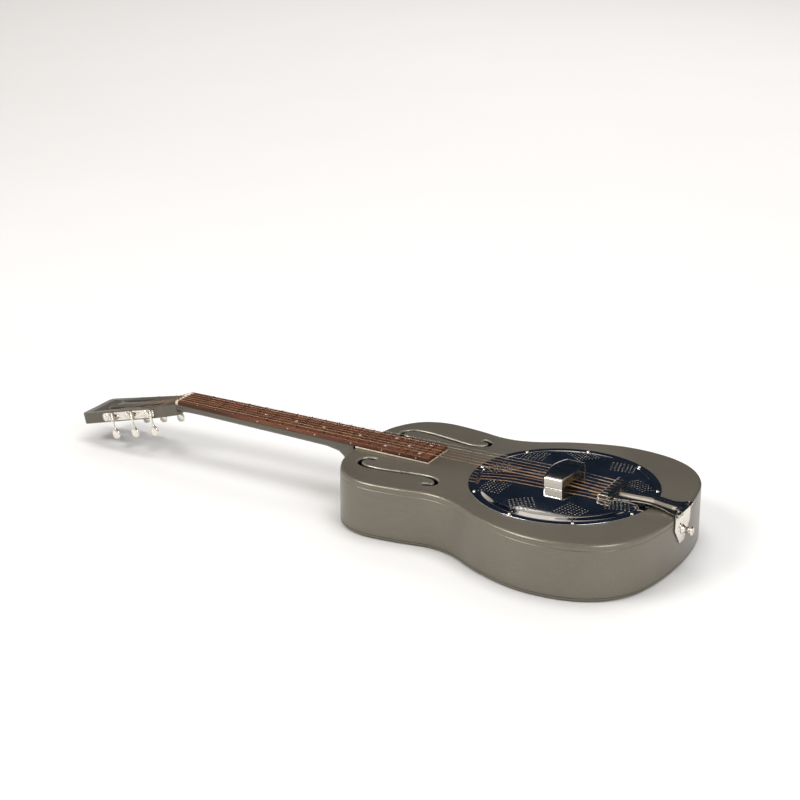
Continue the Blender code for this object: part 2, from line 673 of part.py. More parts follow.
def tuner_frame(side, index):
    """A tuner's frame, with index 0 nearest to the nut."""
    return side_frame(side, TUNER_MIDDLE - (index - 1) * TUNER_PITCH, ROLLER_DEPTH)


def stadium(half_length, half_width, steps=6):
    """A slot's outline along X with round ends."""
    points = []
    for end in (1, -1):
        for k in range(steps + 1):
            angle = math.pi * k / steps - math.pi / 2
            points.append((end * (half_length - half_width + half_width * math.cos(angle)),
                           end * half_width * math.sin(angle)))
    return points


def make_neck():
    neck = loft("neck", [neck_section(x * MM, depth * MM) for x, depth in NECK_STATIONS])
    shoulder = smooth_line(millimetres(HEAD_SHOULDER), 3)
    tip_half = head_half_width(HEAD_CORNER - HEAD_LENGTH)
    half = shoulder + [
        (HEAD_CORNER - HEAD_LENGTH, tip_half), (0.3 * HEAD_CORNER - HEAD_LENGTH, tip_half - 1.4 * MM),
        (-HEAD_LENGTH, tip_half - HEAD_CORNER)]
    outline = half + [(x, -y) for x, y in reversed(half)]
    slab_seat = head_frame() @ Matrix.Translation((0, 0, -HEAD_THICKNESS / 2))
    join(neck, flat_piece("headstock", outline, HEAD_THICKNESS, slab_seat))
    for side in (-1, 1):
        slot_x = (SLOT_START + SLOT_END) / 2
        seat = side_frame(side, slot_x, HEAD_THICKNESS / 2) @ Matrix.Translation((0, 0, SLOT_INSET))
        slot = flat_piece("string_slot", stadium((SLOT_START - SLOT_END) / 2, SLOT_WIDTH / 2),
                          2 * HEAD_THICKNESS, seat @ Matrix.Rotation(math.pi / 2, 4, "X"))
        cut(neck, slot)
        for index in range(TUNERS_PER_SIDE):
            hole_end = ROLLER_END + 1 * MM
            hole = cylinder("roller_hole", ROLLER_HOLE, hole_end + 5 * MM, (0, 0, 0), sides=12)
            hole.matrix_world = tuner_frame(side, index) @ Matrix.Translation(
                (0, 0, (hole_end - 5 * MM) / 2))
            cut(neck, hole)
    cut(neck, box("rod_channel", (300 * MM, 6.6 * MM, 20 * MM), place(151 * MM, 0, 3.4 * MM)))
    finish(neck, "body_finish", GUITAR)

    rod_top = board_top(300 * MM) - BOARD_THICKNESS - GLUE_GAP - 1 * MM
    rod = box("truss_rod", (296 * MM, 5.6 * MM, 7.6 * MM), place(151 * MM, 0, rod_top - 3.8 * MM))
    bevel(rod, 1.0 * MM, 1)
    finish(rod, "steel", GUITAR)

    stick = box("neck_stick", (490 * MM, 22 * MM, 25 * MM), place(561.5 * MM, 0, -48 * MM))
    bevel(stick, 1.5 * MM, 1)
    cut(stick, cylinder("stick_pilot_hole", 2.4 * MM, 40 * MM, place(812 * MM, 0, BUTTON_Z - 12 * MM),
                        Matrix.Rotation(math.pi / 2, 4, "Y"), 10))
    finish(stick, "maple", GUITAR)


def board_slab(name, start, end, top, bottom):
    """A tapering slab of the fingerboard's width between two heights given as functions of x."""
    sections = []
    for x in (start, end):
        half = board_half_width(x)
        sections.append([place(x, half, top(x)), place(x, -half, top(x)),
                         place(x, -half, bottom(x)), place(x, half, bottom(x))])
    return loft(name, sections)


def make_fingerboard():
    board = board_slab("fingerboard", 0.0, BOARD_END, board_top, lambda x: board_top(x) - BOARD_THICKNESS)
    for number in range(1, FRET_COUNT + 1):
        x = fret_x(number)
        cut(board, box("fret_slot", (0.9 * MM, 70 * MM, 4 * MM), place(x, 0, board_top(x)), board_tilt()))
    finish(board, "padauk", GUITAR)

    riser = board_slab("fingerboard_riser", BODY_HEEL_X + 3 * MM, BOARD_END,
                       lambda x: board_top(x) - BOARD_THICKNESS - GLUE_GAP, lambda x: GAP)
    finish(riser, "ivory", GUITAR)

    crown = [(-1.2, 0.1), (-1.0, 0.65), (-0.5, 1.0), (0.5, 1.0), (1.0, 0.65), (1.2, 0.1), (0.3, 0.1),
             (0.3, -1.6), (-0.3, -1.6), (-0.3, 0.1)]
    upright = Matrix.Rotation(math.pi / 2, 4, "X")
    for number in range(1, FRET_COUNT + 1):
        x = fret_x(number)
        seat = Matrix.Translation(place(x, 0, board_top(x))) @ board_tilt() @ upright
        width = 2 * board_half_width(x) - 0.4 * MM
        fret = flat_piece("fret_%02d" % number, millimetres(crown), width, seat)
        finish(fret, "fret_wire", GUITAR)

    nut_bottom = BOARD_TOP_AT_NUT - BOARD_THICKNESS
    nut_top = STRING_BOTTOM_AT_NUT - STRING_REST
    profile = [(-NUT_LENGTH, nut_bottom), (-GAP, nut_bottom), (-GAP, nut_top),
               (-NUT_LENGTH + 2 * MM, nut_top), (-NUT_LENGTH, nut_top - 2 * MM)]
    nut = flat_piece("nut", profile, 2 * NUT_HALF_WIDTH,
                     Matrix.Translation(place(0, 0, 0)) @ upright)
    finish(nut, "ivory", GUITAR)


def string_y(index, spacing):
    """Strings are numbered from the bass side, which is at -Y."""
    return (index - (len(STRING_DIAMETERS) - 1) / 2) * spacing


def string_tuner(index):
    """Side of the headstock and place along it of the roller that a string winds on."""
    if index < TUNERS_PER_SIDE:
        return -1, index
    return 1, 2 * TUNERS_PER_SIDE - 1 - index


def make_strings():
    for index, diameter in enumerate(STRING_DIAMETERS):
        radius = diameter * MM / 2
        side, roller = string_tuner(index)
        over = ROLLER_RADIUS + radius + 0.5 * MM
        nut_z = STRING_BOTTOM_AT_NUT + radius
        points = [
            tuner_frame(side, roller) @ Vector((0.0, -over, ROLLER_WINDINGS[roller] * MM)),
            place(-NUT_LENGTH + 2 * MM, string_y(index, STRING_SPACING_NUT), nut_z),
            place(-GAP, string_y(index, STRING_SPACING_NUT), nut_z),
            place(BRIDGE_X, string_y(index, STRING_SPACING_SADDLE), STRING_BOTTOM_AT_SADDLE + radius),
            place(702.0 * MM, string_y(index, STRING_SPACING_TAIL), 12.2 * MM),
            place(707.0 * MM, string_y(index, STRING_SPACING_TAIL), 11.6 * MM)]
        curve = bpy.data.curves.new("string", "CURVE")
        curve.dimensions = "3D"
        curve.bevel_depth = radius
        curve.bevel_resolution = 1
        curve.use_fill_caps = True
        spline = curve.splines.new("POLY")
        spline.points.add(len(points) - 1)
        for target, point in zip(spline.points, points):
            target.co = (*point, 1.0)
        obj = bpy.data.objects.new("string_%d" % (len(STRING_DIAMETERS) - index), curve)
        look = "wound_string" if index < 4 else "plain_string"
        finish(as_mesh(obj), look, GUITAR)


def gear_outline():
    points = []
    count = GEAR_TEETH * 3
    for k in range(count):
        angle = 2 * math.pi * k / count
        radius = GEAR_PITCH_RADIUS + TOOTH_HALF_HEIGHT * math.cos(GEAR_TEETH * angle)
        points.append((radius * math.cos(angle), radius * math.sin(angle)))
    return points


def key_section(y, half_x, half_z, sides=8):
    return [Vector((half_x * math.cos(2 * math.pi * k / sides), y, half_z * math.sin(2 * math.pi * k / sides)))
            for k in range(sides)]


def worm_section(y, lead, hand):
    """A round section set off the axis and turned with y, so that the stack is a screw thread.

    Where the worm's middle faces the gear, the thread is low and takes the gear's tooth.
    """
    angle = (math.pi if hand > 0 else 0.0) + 2 * math.pi * y / lead
    offset = Vector((math.cos(angle), 0.0, -math.sin(angle))) * TOOTH_HALF_HEIGHT
    return [point + offset for point in key_section(y, WORM_CORE, WORM_CORE)]


def make_key(name, hand):
    """Worm, shaft and button as one piece along local Y; hand 1 has its gear at +X, -1 at -X."""
    lead = 2 * math.pi * GEAR_PITCH_RADIUS / GEAR_TEETH
    end = EAR_OFFSET + EAR_THICKNESS / 2 + 0.8 * MM
    shaft, worm_half = SHAFT_RADIUS, WORM_LENGTH / 2
    sections = [key_section(-end, shaft, shaft), key_section(-worm_half - 0.4 * MM, shaft, shaft)]
    steps = 14
    for k in range(steps + 1):
        sections.append(worm_section(-worm_half + WORM_LENGTH * k / steps, lead, hand))
    sections.append(key_section(worm_half + 0.4 * MM, shaft, shaft))
    for past, half_length, half_thickness in millimetres(KEY_BUTTON):
        sections.append(key_section(KEY_BUTTON_BASE + past, half_length, half_thickness))
    return loft(name, sections)


def make_roller(name, frame):
    """String roller with its gear on the outer end, as one piece along local Z."""
    outer = GEAR_Z - GEAR_THICKNESS / 2 - 0.4 * MM
    length = ROLLER_END - outer
    roller = cylinder(name, ROLLER_RADIUS, length, (0, 0, 0), sides=12)
    roller.data.transform(Matrix.Translation((0, 0, outer + length / 2)))
    gear = flat_piece("gear_blank", gear_outline(), GEAR_THICKNESS, Matrix())
    gear.matrix_world = frame @ Matrix.Translation((0, 0, GEAR_Z))
    join(roller, gear)
    return roller


def make_tuner_plate(side, label, worm_x):
    plate_z = -GAP - PLATE_SHEET / 2
    ear_z = GEAR_Z - EAR_HOLE - 1.2 * MM
    half_length = TUNER_PITCH + PLATE_END
    corner = 3.0 * MM
    outline = [(sx * (half_length - cx), sy * (PLATE_HALF_WIDTH - cy))
               for sx, sy, cuts in ((-1, -1, ((0, 1), (1, 0))), (1, -1, ((1, 0), (0, 1))),
                                    (1, 1, ((0, 1), (1, 0))), (-1, 1, ((1, 0), (0, 1))))
               for cx, cy in ((corner * a, corner * b) for a, b in cuts)]
    plate = flat_piece("tuner_plate_" + label, outline, PLATE_SHEET,
                       tuner_frame(side, 1) @ Matrix.Translation((0, 0, plate_z)))
    for index in range(TUNERS_PER_SIDE):
        frame = tuner_frame(side, index)
        for ear in (-1, 1):
            tab = box("plate_ear", (5.0 * MM, EAR_THICKNESS, plate_z - ear_z), (0, 0, 0))
            tab.matrix_world = frame @ Matrix.Translation(
                (worm_x, ear * EAR_OFFSET, (plate_z + ear_z) / 2))
            join(plate, tab)
        bore = cylinder("ear_bore", EAR_HOLE, 20 * MM, (0, 0, 0), sides=10)
        bore.matrix_world = frame @ Matrix.Translation((worm_x, 0, GEAR_Z)) @ Matrix.Rotation(
            math.pi / 2, 4, "X")
        cut(plate, bore)
        hole = cylinder("plate_hole", ROLLER_HOLE, 4 * MM, (0, 0, 0), sides=12)
        hole.matrix_world = frame @ Matrix.Translation((0, 0, plate_z))
        cut(plate, hole)
    finish(plate, "nickel", GUITAR)


def make_tuners():
    for side, label in ((-1, "bass"), (1, "treble")):
        worm_x = -side * (GEAR_PITCH_RADIUS + WORM_CORE + WORM_CLEARANCE)
        make_tuner_plate(side, label, worm_x)
        for index in range(TUNERS_PER_SIDE):
            number = 6 - index if side < 0 else 1 + index
            frame = tuner_frame(side, index)
            roller_axis = add_empty("roller_axis_%d" % number, frame)
            roller = finish(make_roller("tuner_roller_%d" % number, frame), "nickel", GUITAR)
            roller.parent = roller_axis
            key_axis = add_empty("key_axis_%d" % number,
                                 frame @ Matrix.Translation((worm_x, 0, GEAR_Z)))
            key = finish(make_key("tuner_key_%d" % number, side), "nickel", GUITAR)
            key.parent = key_axis


def add_empty(name, matrix):
    empty = bpy.data.objects.new(name, None)
    GUITAR.objects.link(empty)
    empty.matrix_world = matrix
    return empty


clear_scene()
GUITAR = new_collection("resonator_guitar")
CUTTERS = new_collection("cutters")
make_body()
make_resonator()
make_cover()
make_tailpiece()
make_neck()
make_fingerboard()
make_strings()
make_tuners()
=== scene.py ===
from itertools import product
import json
import math

import bmesh
import bpy
import numpy as np
from mathutils import Matrix, Vector
from mathutils.geometry import delaunay_2d_cdt

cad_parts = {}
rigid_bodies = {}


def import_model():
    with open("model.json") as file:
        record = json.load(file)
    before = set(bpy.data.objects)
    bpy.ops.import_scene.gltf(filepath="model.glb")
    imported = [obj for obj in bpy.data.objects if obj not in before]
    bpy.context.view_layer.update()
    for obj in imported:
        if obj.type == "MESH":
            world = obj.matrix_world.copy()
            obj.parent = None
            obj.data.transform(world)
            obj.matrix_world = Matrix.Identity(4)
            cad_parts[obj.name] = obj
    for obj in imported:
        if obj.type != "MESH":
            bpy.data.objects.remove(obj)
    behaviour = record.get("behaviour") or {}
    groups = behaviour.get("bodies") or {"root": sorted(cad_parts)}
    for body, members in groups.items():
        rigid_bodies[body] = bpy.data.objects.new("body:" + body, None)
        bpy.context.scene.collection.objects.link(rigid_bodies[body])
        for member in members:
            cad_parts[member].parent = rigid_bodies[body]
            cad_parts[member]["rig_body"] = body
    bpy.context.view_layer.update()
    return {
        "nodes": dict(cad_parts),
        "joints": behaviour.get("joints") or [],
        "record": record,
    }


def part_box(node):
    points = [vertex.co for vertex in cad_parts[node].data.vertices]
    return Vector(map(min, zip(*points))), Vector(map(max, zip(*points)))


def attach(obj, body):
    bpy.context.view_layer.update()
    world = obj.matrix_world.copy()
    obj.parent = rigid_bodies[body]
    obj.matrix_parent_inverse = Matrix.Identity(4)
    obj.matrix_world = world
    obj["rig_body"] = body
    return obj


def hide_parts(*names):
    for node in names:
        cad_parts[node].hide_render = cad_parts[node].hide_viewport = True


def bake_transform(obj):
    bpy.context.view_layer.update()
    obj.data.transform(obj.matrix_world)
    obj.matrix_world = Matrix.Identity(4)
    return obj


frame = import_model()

# ---- places read from the frame
MM = 0.001
GAP = 0.3 * MM  # between parts that touch on the real object
TOP_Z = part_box("body_top")[1].z
NUT_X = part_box("nut")[1].x + GAP
BRIDGE_X = (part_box("coverplate")[0].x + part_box("coverplate")[1].x) / 2 - NUT_X
COVER_RADIUS = (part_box("coverplate")[1].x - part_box("coverplate")[0].x) / 2
BODY_DEPTH = TOP_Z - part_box("body_back")[0].z
TOP_SKIRT = TOP_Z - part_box("body_top")[0].z
BACK_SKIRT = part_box("body_back")[1].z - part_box("body_back")[0].z
BOARD_TOP_AT_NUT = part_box("fingerboard")[1].z - TOP_Z
JOINTS = {joint["name"]: joint for joint in frame["joints"]}
HINGE = Vector(JOINTS["tailpiece_hinge"]["pos_m"])
Z_TO_X = Matrix.Rotation(math.pi / 2, 4, "Y")
Z_ACROSS = Matrix.Rotation(math.pi / 2, 4, "X")

# ---- shared sizes of the design
SCALE_LENGTH = 635.0 * MM
FRET_COUNT = 19
BOARD_SLOPE = -1.0 / 423.0
NUT_HALF_WIDTH = 22.1 * MM
LAST_FRET_HALF_WIDTH = 28.9 * MM
STRING_DIAMETERS = (1.42, 1.17, 0.91, 0.66, 0.43, 0.33)  # in millimetres, bass to treble
WOUND_STRINGS = 4
SPACING_NUT = 7.6 * MM
SPACING_SADDLE = 10.4 * MM
SPACING_TAIL = 10.2 * MM
STRING_BOTTOM_AT_NUT = 11.0 * MM
STRING_BOTTOM_AT_SADDLE = 14.6 * MM
ROLLER_RADIUS = 3.2 * MM
ROLLER_WINDINGS = (15.5, 18.5, 20.5)  # along each roller, in millimetres, outer string to inner
WINDING_TURNS = 3.5
SHEET = 1.0 * MM
ROLL_RADIUS = 5.0 * MM
CONE_OPENING = 121.5 * MM
BODY_HALF_OUTLINE = (  # (from the nut, from the middle), in millimetres
    (313.0, 0.0), (313.4, 30.0), (321.0, 74.0), (345.0, 112.0), (384.0, 129.5), (438.0, 127.0),
    (488.0, 119.5), (528.0, 128.0), (583.0, 156.5), (650.0, 177.0), (715.0, 174.5),
    (763.0, 153.0), (794.0, 114.0), (808.0, 60.0), (812.0, 0.0))
F_HOLE_LINE = (  # its middle line, in the same way
    (360.0, 48.0), (351.0, 50.0), (345.5, 58.0), (348.0, 69.0), (360.0, 76.5), (382.0, 77.5),
    (411.0, 73.0), (436.0, 68.5), (456.0, 66.5), (469.0, 69.5), (477.5, 78.0), (476.0, 88.5),
    (465.0, 92.5))
F_HOLE_WIDTH = 6.0 * MM
F_HOLE_END_WIDTH = 8.0 * MM
F_HOLE_LIP = 2.2 * MM
COVER_SHEET = 0.8 * MM
COVER_CROWN = 8.6 * MM
COVER_SHOULDER = 4.0 * MM
COVER_SHOULDER_RADIUS = 121.0 * MM
COVER_DOME_END = 116.5 * MM
COVER_FLANGE_START = 124.8 * MM
COVER_SCREWS = 9
COVER_SCREW_CIRCLE = 128.3 * MM
CLUSTER_CENTRE = 100.0 * MM
CLUSTER_SIDE = 7
CLUSTER_PITCH = 5.3 * MM
CLUSTER_HOLE = 1.3 * MM
HOLE_LIP = 0.28 * MM
SADDLE_SLOT = (11.0 * MM, 31.0 * MM)  # half length and half width of the hole for the saddle


def place(x, y, z):
    """Point at a distance x from the nut, y to the treble side, z above the body's top."""
    return Vector((x + NUT_X, y, z + TOP_Z))


def joint_line(name, number):
    """A numbered joint's point and its direction."""
    joint = JOINTS["%s_%d" % (name, number)]
    return Vector(joint["pos_m"]), Vector(joint["axis"]).normalized()


def board_top(x):
    return BOARD_TOP_AT_NUT + BOARD_SLOPE * x


def fret_x(number):
    return SCALE_LENGTH * (1 - 2 ** (-number / 12))


def board_half_width(x):
    return NUT_HALF_WIDTH + (LAST_FRET_HALF_WIDTH - NUT_HALF_WIDTH) * x / fret_x(FRET_COUNT)


def string_y(index, spacing):
    return (index - (len(STRING_DIAMETERS) - 1) / 2) * spacing


def millimetres(points):
    return [tuple(value * MM for value in point) for point in points]


def smooth_line(points, steps):
    """A Catmull-Rom curve through an open list of points."""
    padded = [points[0], *points, points[-1]]
    line = []
    for p0, p1, p2, p3 in zip(padded, padded[1:], padded[2:], padded[3:]):
        for k in range(steps):
            t = k / steps
            line.append(tuple(
                0.5 * (2 * b + (c - a) * t + (2 * a - 5 * b + 4 * c - d) * t * t
                       + (3 * b - a - 3 * c + d) * t ** 3)
                for a, b, c, d in zip(p0, p1, p2, p3)))
    line.append(tuple(points[-1]))
    return line


def assign(target, **values):
    """Set several attributes at once."""
    for name, value in values.items():
        setattr(target, name, value)
    return target


# ---- materials
MATERIALS = {}


class Look:
    """A procedural material under construction; every texture is in the row frame's metres."""

    def __init__(self, name, metallic, roughness, coat=0.0):
        self.material = bpy.data.materials.new(name)
        MATERIALS[name] = self.material
        self.material.use_nodes = True
        self.nodes = self.material.node_tree.nodes
        self.links = self.material.node_tree.links
        self.shader = self.nodes["Principled BSDF"]
        self.set(self.shader, ("Metallic", metallic), ("Roughness", roughness))
        if coat:
            self.set(self.shader, ("Coat Weight", coat), ("Coat Roughness", 0.12))
        self.coordinates = self.nodes.new("ShaderNodeTexCoord").outputs["Object"]

    def set(self, node, *constants):
        for socket, value in constants:
            node.inputs[socket].default_value = value

    def add(self, kind, source, socket, *constants):
        """A node with constants on its sockets, fed by a source."""
        node = self.nodes.new(kind)
        self.set(node, *constants)
        self.links.new(source, node.inputs[socket])
        return node

    def mapped(self, *constants):
        return self.add("ShaderNodeMapping", self.coordinates, "Vector", *constants).outputs["Vector"]

    def noise(self, scale, along=1.0, across=1.0, detail=4.0, distortion=0.0):
        """Noise; a small factor along X or across it draws the texture out that way."""
        node = self.add("ShaderNodeTexNoise", self.mapped(("Scale", (along, across, 1.0))),
                        "Vector", ("Scale", scale), ("Detail", detail), ("Distortion", distortion))
        return node.outputs["Fac"]

    def waves(self, source, scale, distortion=0.0):
        return self.add("ShaderNodeTexWave", source, "Vector", ("Scale", scale),
                        ("Distortion", distortion), ("Detail", 2.0))

    def ramp(self, value, stops):
        node = self.add("ShaderNodeValToRGB", value, "Fac")
        elements = node.color_ramp.elements
        while len(elements) < len(stops):
            elements.new(0.5)
        for element, (position, color) in zip(elements, stops):
            assign(element, position=position, color=(*color, 1.0))
        return node.outputs["Color"]

    def mix(self, factor, first, second, blend="MIX"):
        node = self.nodes.new("ShaderNodeMix")
        node.data_type = "RGBA"
        node.blend_type = blend
        self.set(node, (0, factor))
        self.links.new(first, node.inputs[6])
        self.links.new(second, node.inputs[7])
        return node.outputs[2]

    def tones(self, value, dark, pale):
        """Base colour running from one tone to another with a texture."""
        self.color(self.ramp(value, [(0.3, dark), (0.7, pale)]))

    def color(self, socket):
        self.links.new(socket, self.shader.inputs["Base Color"])

    def roughness(self, value, low, high):
        node = self.add("ShaderNodeMapRange", value, "Value", ("From Min", 0.3), ("From Max", 0.7),
                        ("To Min", low), ("To Max", high))
        self.links.new(node.outputs["Result"], self.shader.inputs["Roughness"])

    def bump(self, height, distance, strength):
        node = self.add("ShaderNodeBump", height, "Height", ("Strength", strength),
                        ("Distance", distance))
        normal = self.shader.inputs["Normal"]
        if normal.is_linked:
            self.links.new(normal.links[0].from_socket, node.inputs["Normal"])
        self.links.new(node.outputs["Normal"], normal)


def tint(color, factor):
    return tuple(min(1.0, channel * factor) for channel in color)


def plated(name, color, roughness, smudge):
    """Polished plate: faint cloudy smudges, hairline scratches and a slightly uneven tone."""
    look = Look(name, 1.0, roughness)
    clouds = look.noise(9.0, detail=5.0, distortion=0.6)
    look.tones(clouds, tint(color, 0.93), tint(color, 1.03))
    hair = look.noise(900.0, along=0.12, detail=2.0)
    cloudy_hair = look.mix(0.35, clouds, hair)
    look.roughness(cloudy_hair, max(0.02, roughness - smudge / 2), roughness + smudge)
    look.bump(hair, 0.004 * MM, 0.25)


def body_finish():
    """Satin bronze-grey finish over metal, with fine brushing along the body and soft clouds."""
    look = Look("body_finish", 0.60, 0.36, coat=0.15)
    clouds = look.noise(5.0, detail=6.0, distortion=0.8)
    brushing = look.noise(420.0, along=0.05, detail=3.0)
    base = look.ramp(clouds, [(0.25, (0.158, 0.140, 0.111)), (0.75, (0.187, 0.167, 0.133))])
    streaks = look.ramp(brushing, [(0.3, (0.90, 0.90, 0.89)), (0.7, (1.0, 1.0, 1.0))])
    look.color(look.mix(1.0, base, streaks, "MULTIPLY"))
    look.roughness(look.mix(0.5, clouds, brushing), 0.27, 0.40)
    look.bump(brushing, 0.006 * MM, 0.5)


def painted_lip_highlight():
    """The body's finish set lighter on the f-holes' pressed lips: a painted highlight."""
    look = Look("painted_lip_highlight", 0.75, 0.30, coat=0.1)
    lip_mottle = look.noise(60.0, detail=5.0, distortion=0.5)
    # tones much lighter than the body's finish: painted highlight on the lips
    look.tones(lip_mottle, (0.23, 0.21, 0.17), (0.38, 0.355, 0.31))
    look.roughness(lip_mottle, 0.24, 0.40)
    look.bump(lip_mottle, 0.01 * MM, 0.3)


def neck_finish():
    """The body's paint sprayed on wood, set darker than the body's finish as painted shade; smoother,
    with a faint trace of grain underneath.
    """
    look = Look("painted_neck", 0.45, 0.38, coat=0.15)
    clouds = look.noise(7.0, detail=5.0)
    grain = look.noise(160.0, along=0.04, detail=4.0)
    # darker tones than the body's finish: painted shade
    base = look.ramp(clouds, [(0.3, (0.100, 0.090, 0.070)), (0.7, (0.122, 0.110, 0.086))])
    shade = look.ramp(grain, [(0.3, (0.94, 0.94, 0.94)), (0.7, (1.0, 1.0, 1.0))])
    look.color(look.mix(1.0, base, shade, "MULTIPLY"))
    look.roughness(clouds, 0.28, 0.42)
    look.bump(grain, 0.02 * MM, 0.4)


def wood(name, dark, middle, pale, ring_scale, grain_scale, roughness, pore_depth):
    """Straight-grained wood with its grain along X: growth bands, fine grain and open pores."""
    look = Look(name, 0.0, roughness)
    bands = look.waves(look.mapped(("Scale", (0.06, 1.0, 1.0))), ring_scale, 5.0)
    bands.bands_direction = "Y"
    grain = look.noise(grain_scale, along=0.03, detail=8.0, distortion=0.5)
    pores = look.noise(grain_scale * 3.2, along=0.05, detail=2.0)
    base = look.ramp(look.mix(0.55, bands.outputs["Fac"], grain),
                     [(0.28, dark), (0.5, middle), (0.74, pale)])
    pits = look.ramp(pores, [(0.34, (0.45, 0.42, 0.40)), (0.44, (1.0, 1.0, 1.0))])
    look.color(look.mix(0.75, base, pits, "MULTIPLY"))
    look.set(look.shader, ("Specular IOR Level", 0.3))
    look.roughness(grain, roughness - 0.08, roughness + 0.12)
    look.bump(pores, pore_depth, 0.6)
    look.bump(grain, pore_depth * 0.5, 0.4)


def ivory():
    look = Look("ivory", 0.0, 0.34, coat=0.2)
    look.set(look.shader, ("Subsurface Weight", 0.08), ("Subsurface Scale", 1.0 * MM))
    streaks = look.noise(140.0, across=0.12, detail=5.0)
    look.tones(streaks, (0.55, 0.46, 0.34), (0.69, 0.60, 0.47))
    look.roughness(streaks, 0.28, 0.42)
    look.bump(streaks, 0.02 * MM, 0.3)


def pearl():
    """Inlay dots: pale shell with soft coloured clouds."""
    look = Look("pearl", 0.0, 0.22, coat=0.4)
    clouds = look.noise(420.0, detail=5.0, distortion=2.0)
    look.color(look.ramp(clouds, [(0.3, (0.34, 0.29, 0.24)), (0.5, (0.46, 0.40, 0.34)),
                                  (0.7, (0.38, 0.38, 0.35))]))
    look.roughness(clouds, 0.16, 0.30)
    look.bump(clouds, 0.01 * MM, 0.3)


def wire(name, color, roughness, winding_pitch=None):
    """String or fret wire; a wound string has ridges along X at its winding's pitch."""
    look = Look(name, 1.0, roughness)
    tarnish = look.noise(60.0, along=0.3, detail=5.0)
    look.tones(tarnish, tint(color, 0.72), tint(color, 1.08))
    look.roughness(tarnish, roughness - 0.06, roughness + 0.12)
    if winding_pitch:
        ridges = look.waves(look.coordinates, 2 * math.pi / 20.0 / winding_pitch)
        look.bump(ridges.outputs["Fac"], 0.06 * MM, 0.8)
    else:
        look.bump(look.noise(1500.0, along=0.2), 0.004 * MM, 0.4)


def spun(name, color, roughness, centre):
    """Spun sheet: fine turning rings about the bridge's vertical axis."""
    look = Look(name, 1.0, roughness)
    rings = look.waves(look.mapped(("Location", (-centre.x, -centre.y, 0.0))), 420.0, 1.0)
    rings.wave_type = "RINGS"
    rings.rings_direction = "Z"
    clouds = look.noise(30.0, detail=5.0)
    look.tones(clouds, tint(color, 0.85), color)
    look.roughness(clouds, roughness - 0.05, roughness + 0.12)
    look.bump(rings.outputs["Fac"], 0.03 * MM, 0.6)


def steel(name, color, roughness):
    look = Look(name, 1.0, roughness)
    clouds = look.noise(50.0, detail=6.0, distortion=0.5)
    fine = look.noise(700.0, detail=3.0)
    look.tones(clouds, tint(color, 0.8), color)
    look.roughness(look.mix(0.5, clouds, fine), roughness - 0.08, roughness + 0.14)
    look.bump(fine, 0.01 * MM, 0.5)


body_finish()
painted_lip_highlight()
neck_finish()
ivory()
pearl()
plated("chrome_plate", (0.82, 0.83, 0.84), 0.045, 0.03)
plated("nickel", (0.80, 0.76, 0.69), 0.10, 0.07)
plated("punched_edge", (0.56, 0.52, 0.47), 0.20, 0.10)
# near-black rough steel for the palm rest's inner faces: the roughness is the metal's, the dark
# colour is painted shade
steel("unpolished_painted_shade", (0.115, 0.095, 0.080), 0.42)
steel("steel", (0.55, 0.54, 0.52), 0.34)
spun("spun_aluminium", (0.78, 0.78, 0.77), 0.30, place(BRIDGE_X, 0, 0))
wood("maple", (0.15, 0.085, 0.040), (0.22, 0.135, 0.068), (0.29, 0.185, 0.098),
     60.0, 90.0, 0.48, 0.02 * MM)
wood("padauk", (0.045, 0.014, 0.006), (0.088, 0.027, 0.011), (0.138, 0.046, 0.020),
     55.0, 130.0, 0.55, 0.05 * MM)
wire("fret_wire", (0.36, 0.29, 0.23), 0.30)
wire("plain_string", (0.46, 0.37, 0.30), 0.30)
wire("wound_string", (0.36, 0.235, 0.155), 0.34, 0.42 * MM)
NODE_SLOTS = {entry["node"]: entry["material_slot"] for entry in frame["record"]["subparts"]}


# ---- mesh helpers
def link(obj):
    bpy.context.scene.collection.objects.link(obj)
    return obj


def made(name, bm):
    """An object that takes over a bmesh."""
    mesh = bpy.data.meshes.new(name)
    bm.to_mesh(mesh)
    bm.free()
    return link(bpy.data.objects.new(name, mesh))


def dress(obj, look, smooth):
    """Give a mesh one material, and smooth shading between its sharp edges."""
    obj.data.materials.clear()
    obj.data.materials.append(MATERIALS[look])
    if smooth is not None:
        obj.data.shade_smooth()
        obj.data.set_sharp_from_angle(angle=math.radians(smooth))


def settle(obj, slot, body="guitar", nodes=(), smooth=40.0, look=None):
    """Finish a piece: its material (its slot's, unless another look is given), its body, and the CAD
    nodes it stands for, which are hidden.
    """
    dress(obj, look or slot, smooth)
    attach(obj, body)
    if nodes:
        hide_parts(*nodes)


def second_look(obj, look, polygons):
    """Give some of a piece's faces another material."""
    obj.data.materials.append(MATERIALS[look])
    for polygon in polygons:
        polygon.material_index = 1


def piece(name, bm, slot, body="guitar", nodes=(), look=None):
    settle(made(name, bm), slot, body, nodes, look=look)


def solidify(obj, thickness, offset=-1.0):
    assign(obj.modifiers.new("sheet", "SOLIDIFY"), thickness=thickness, offset=offset,
           use_even_offset=True)


def bevel(obj, width, segments, angle):
    assign(obj.modifiers.new("edges", "BEVEL"), width=width, segments=segments,
           limit_method="ANGLE", angle_limit=math.radians(angle), use_clamp_overlap=True,
           harden_normals=True)


def apply_modifiers(obj):
    """Replace an object's mesh by its evaluated one."""
    bpy.context.view_layer.update()
    evaluated = obj.evaluated_get(bpy.context.evaluated_depsgraph_get())
    mesh = bpy.data.meshes.new_from_object(evaluated)
    obj.modifiers.clear()
    obj.data = mesh


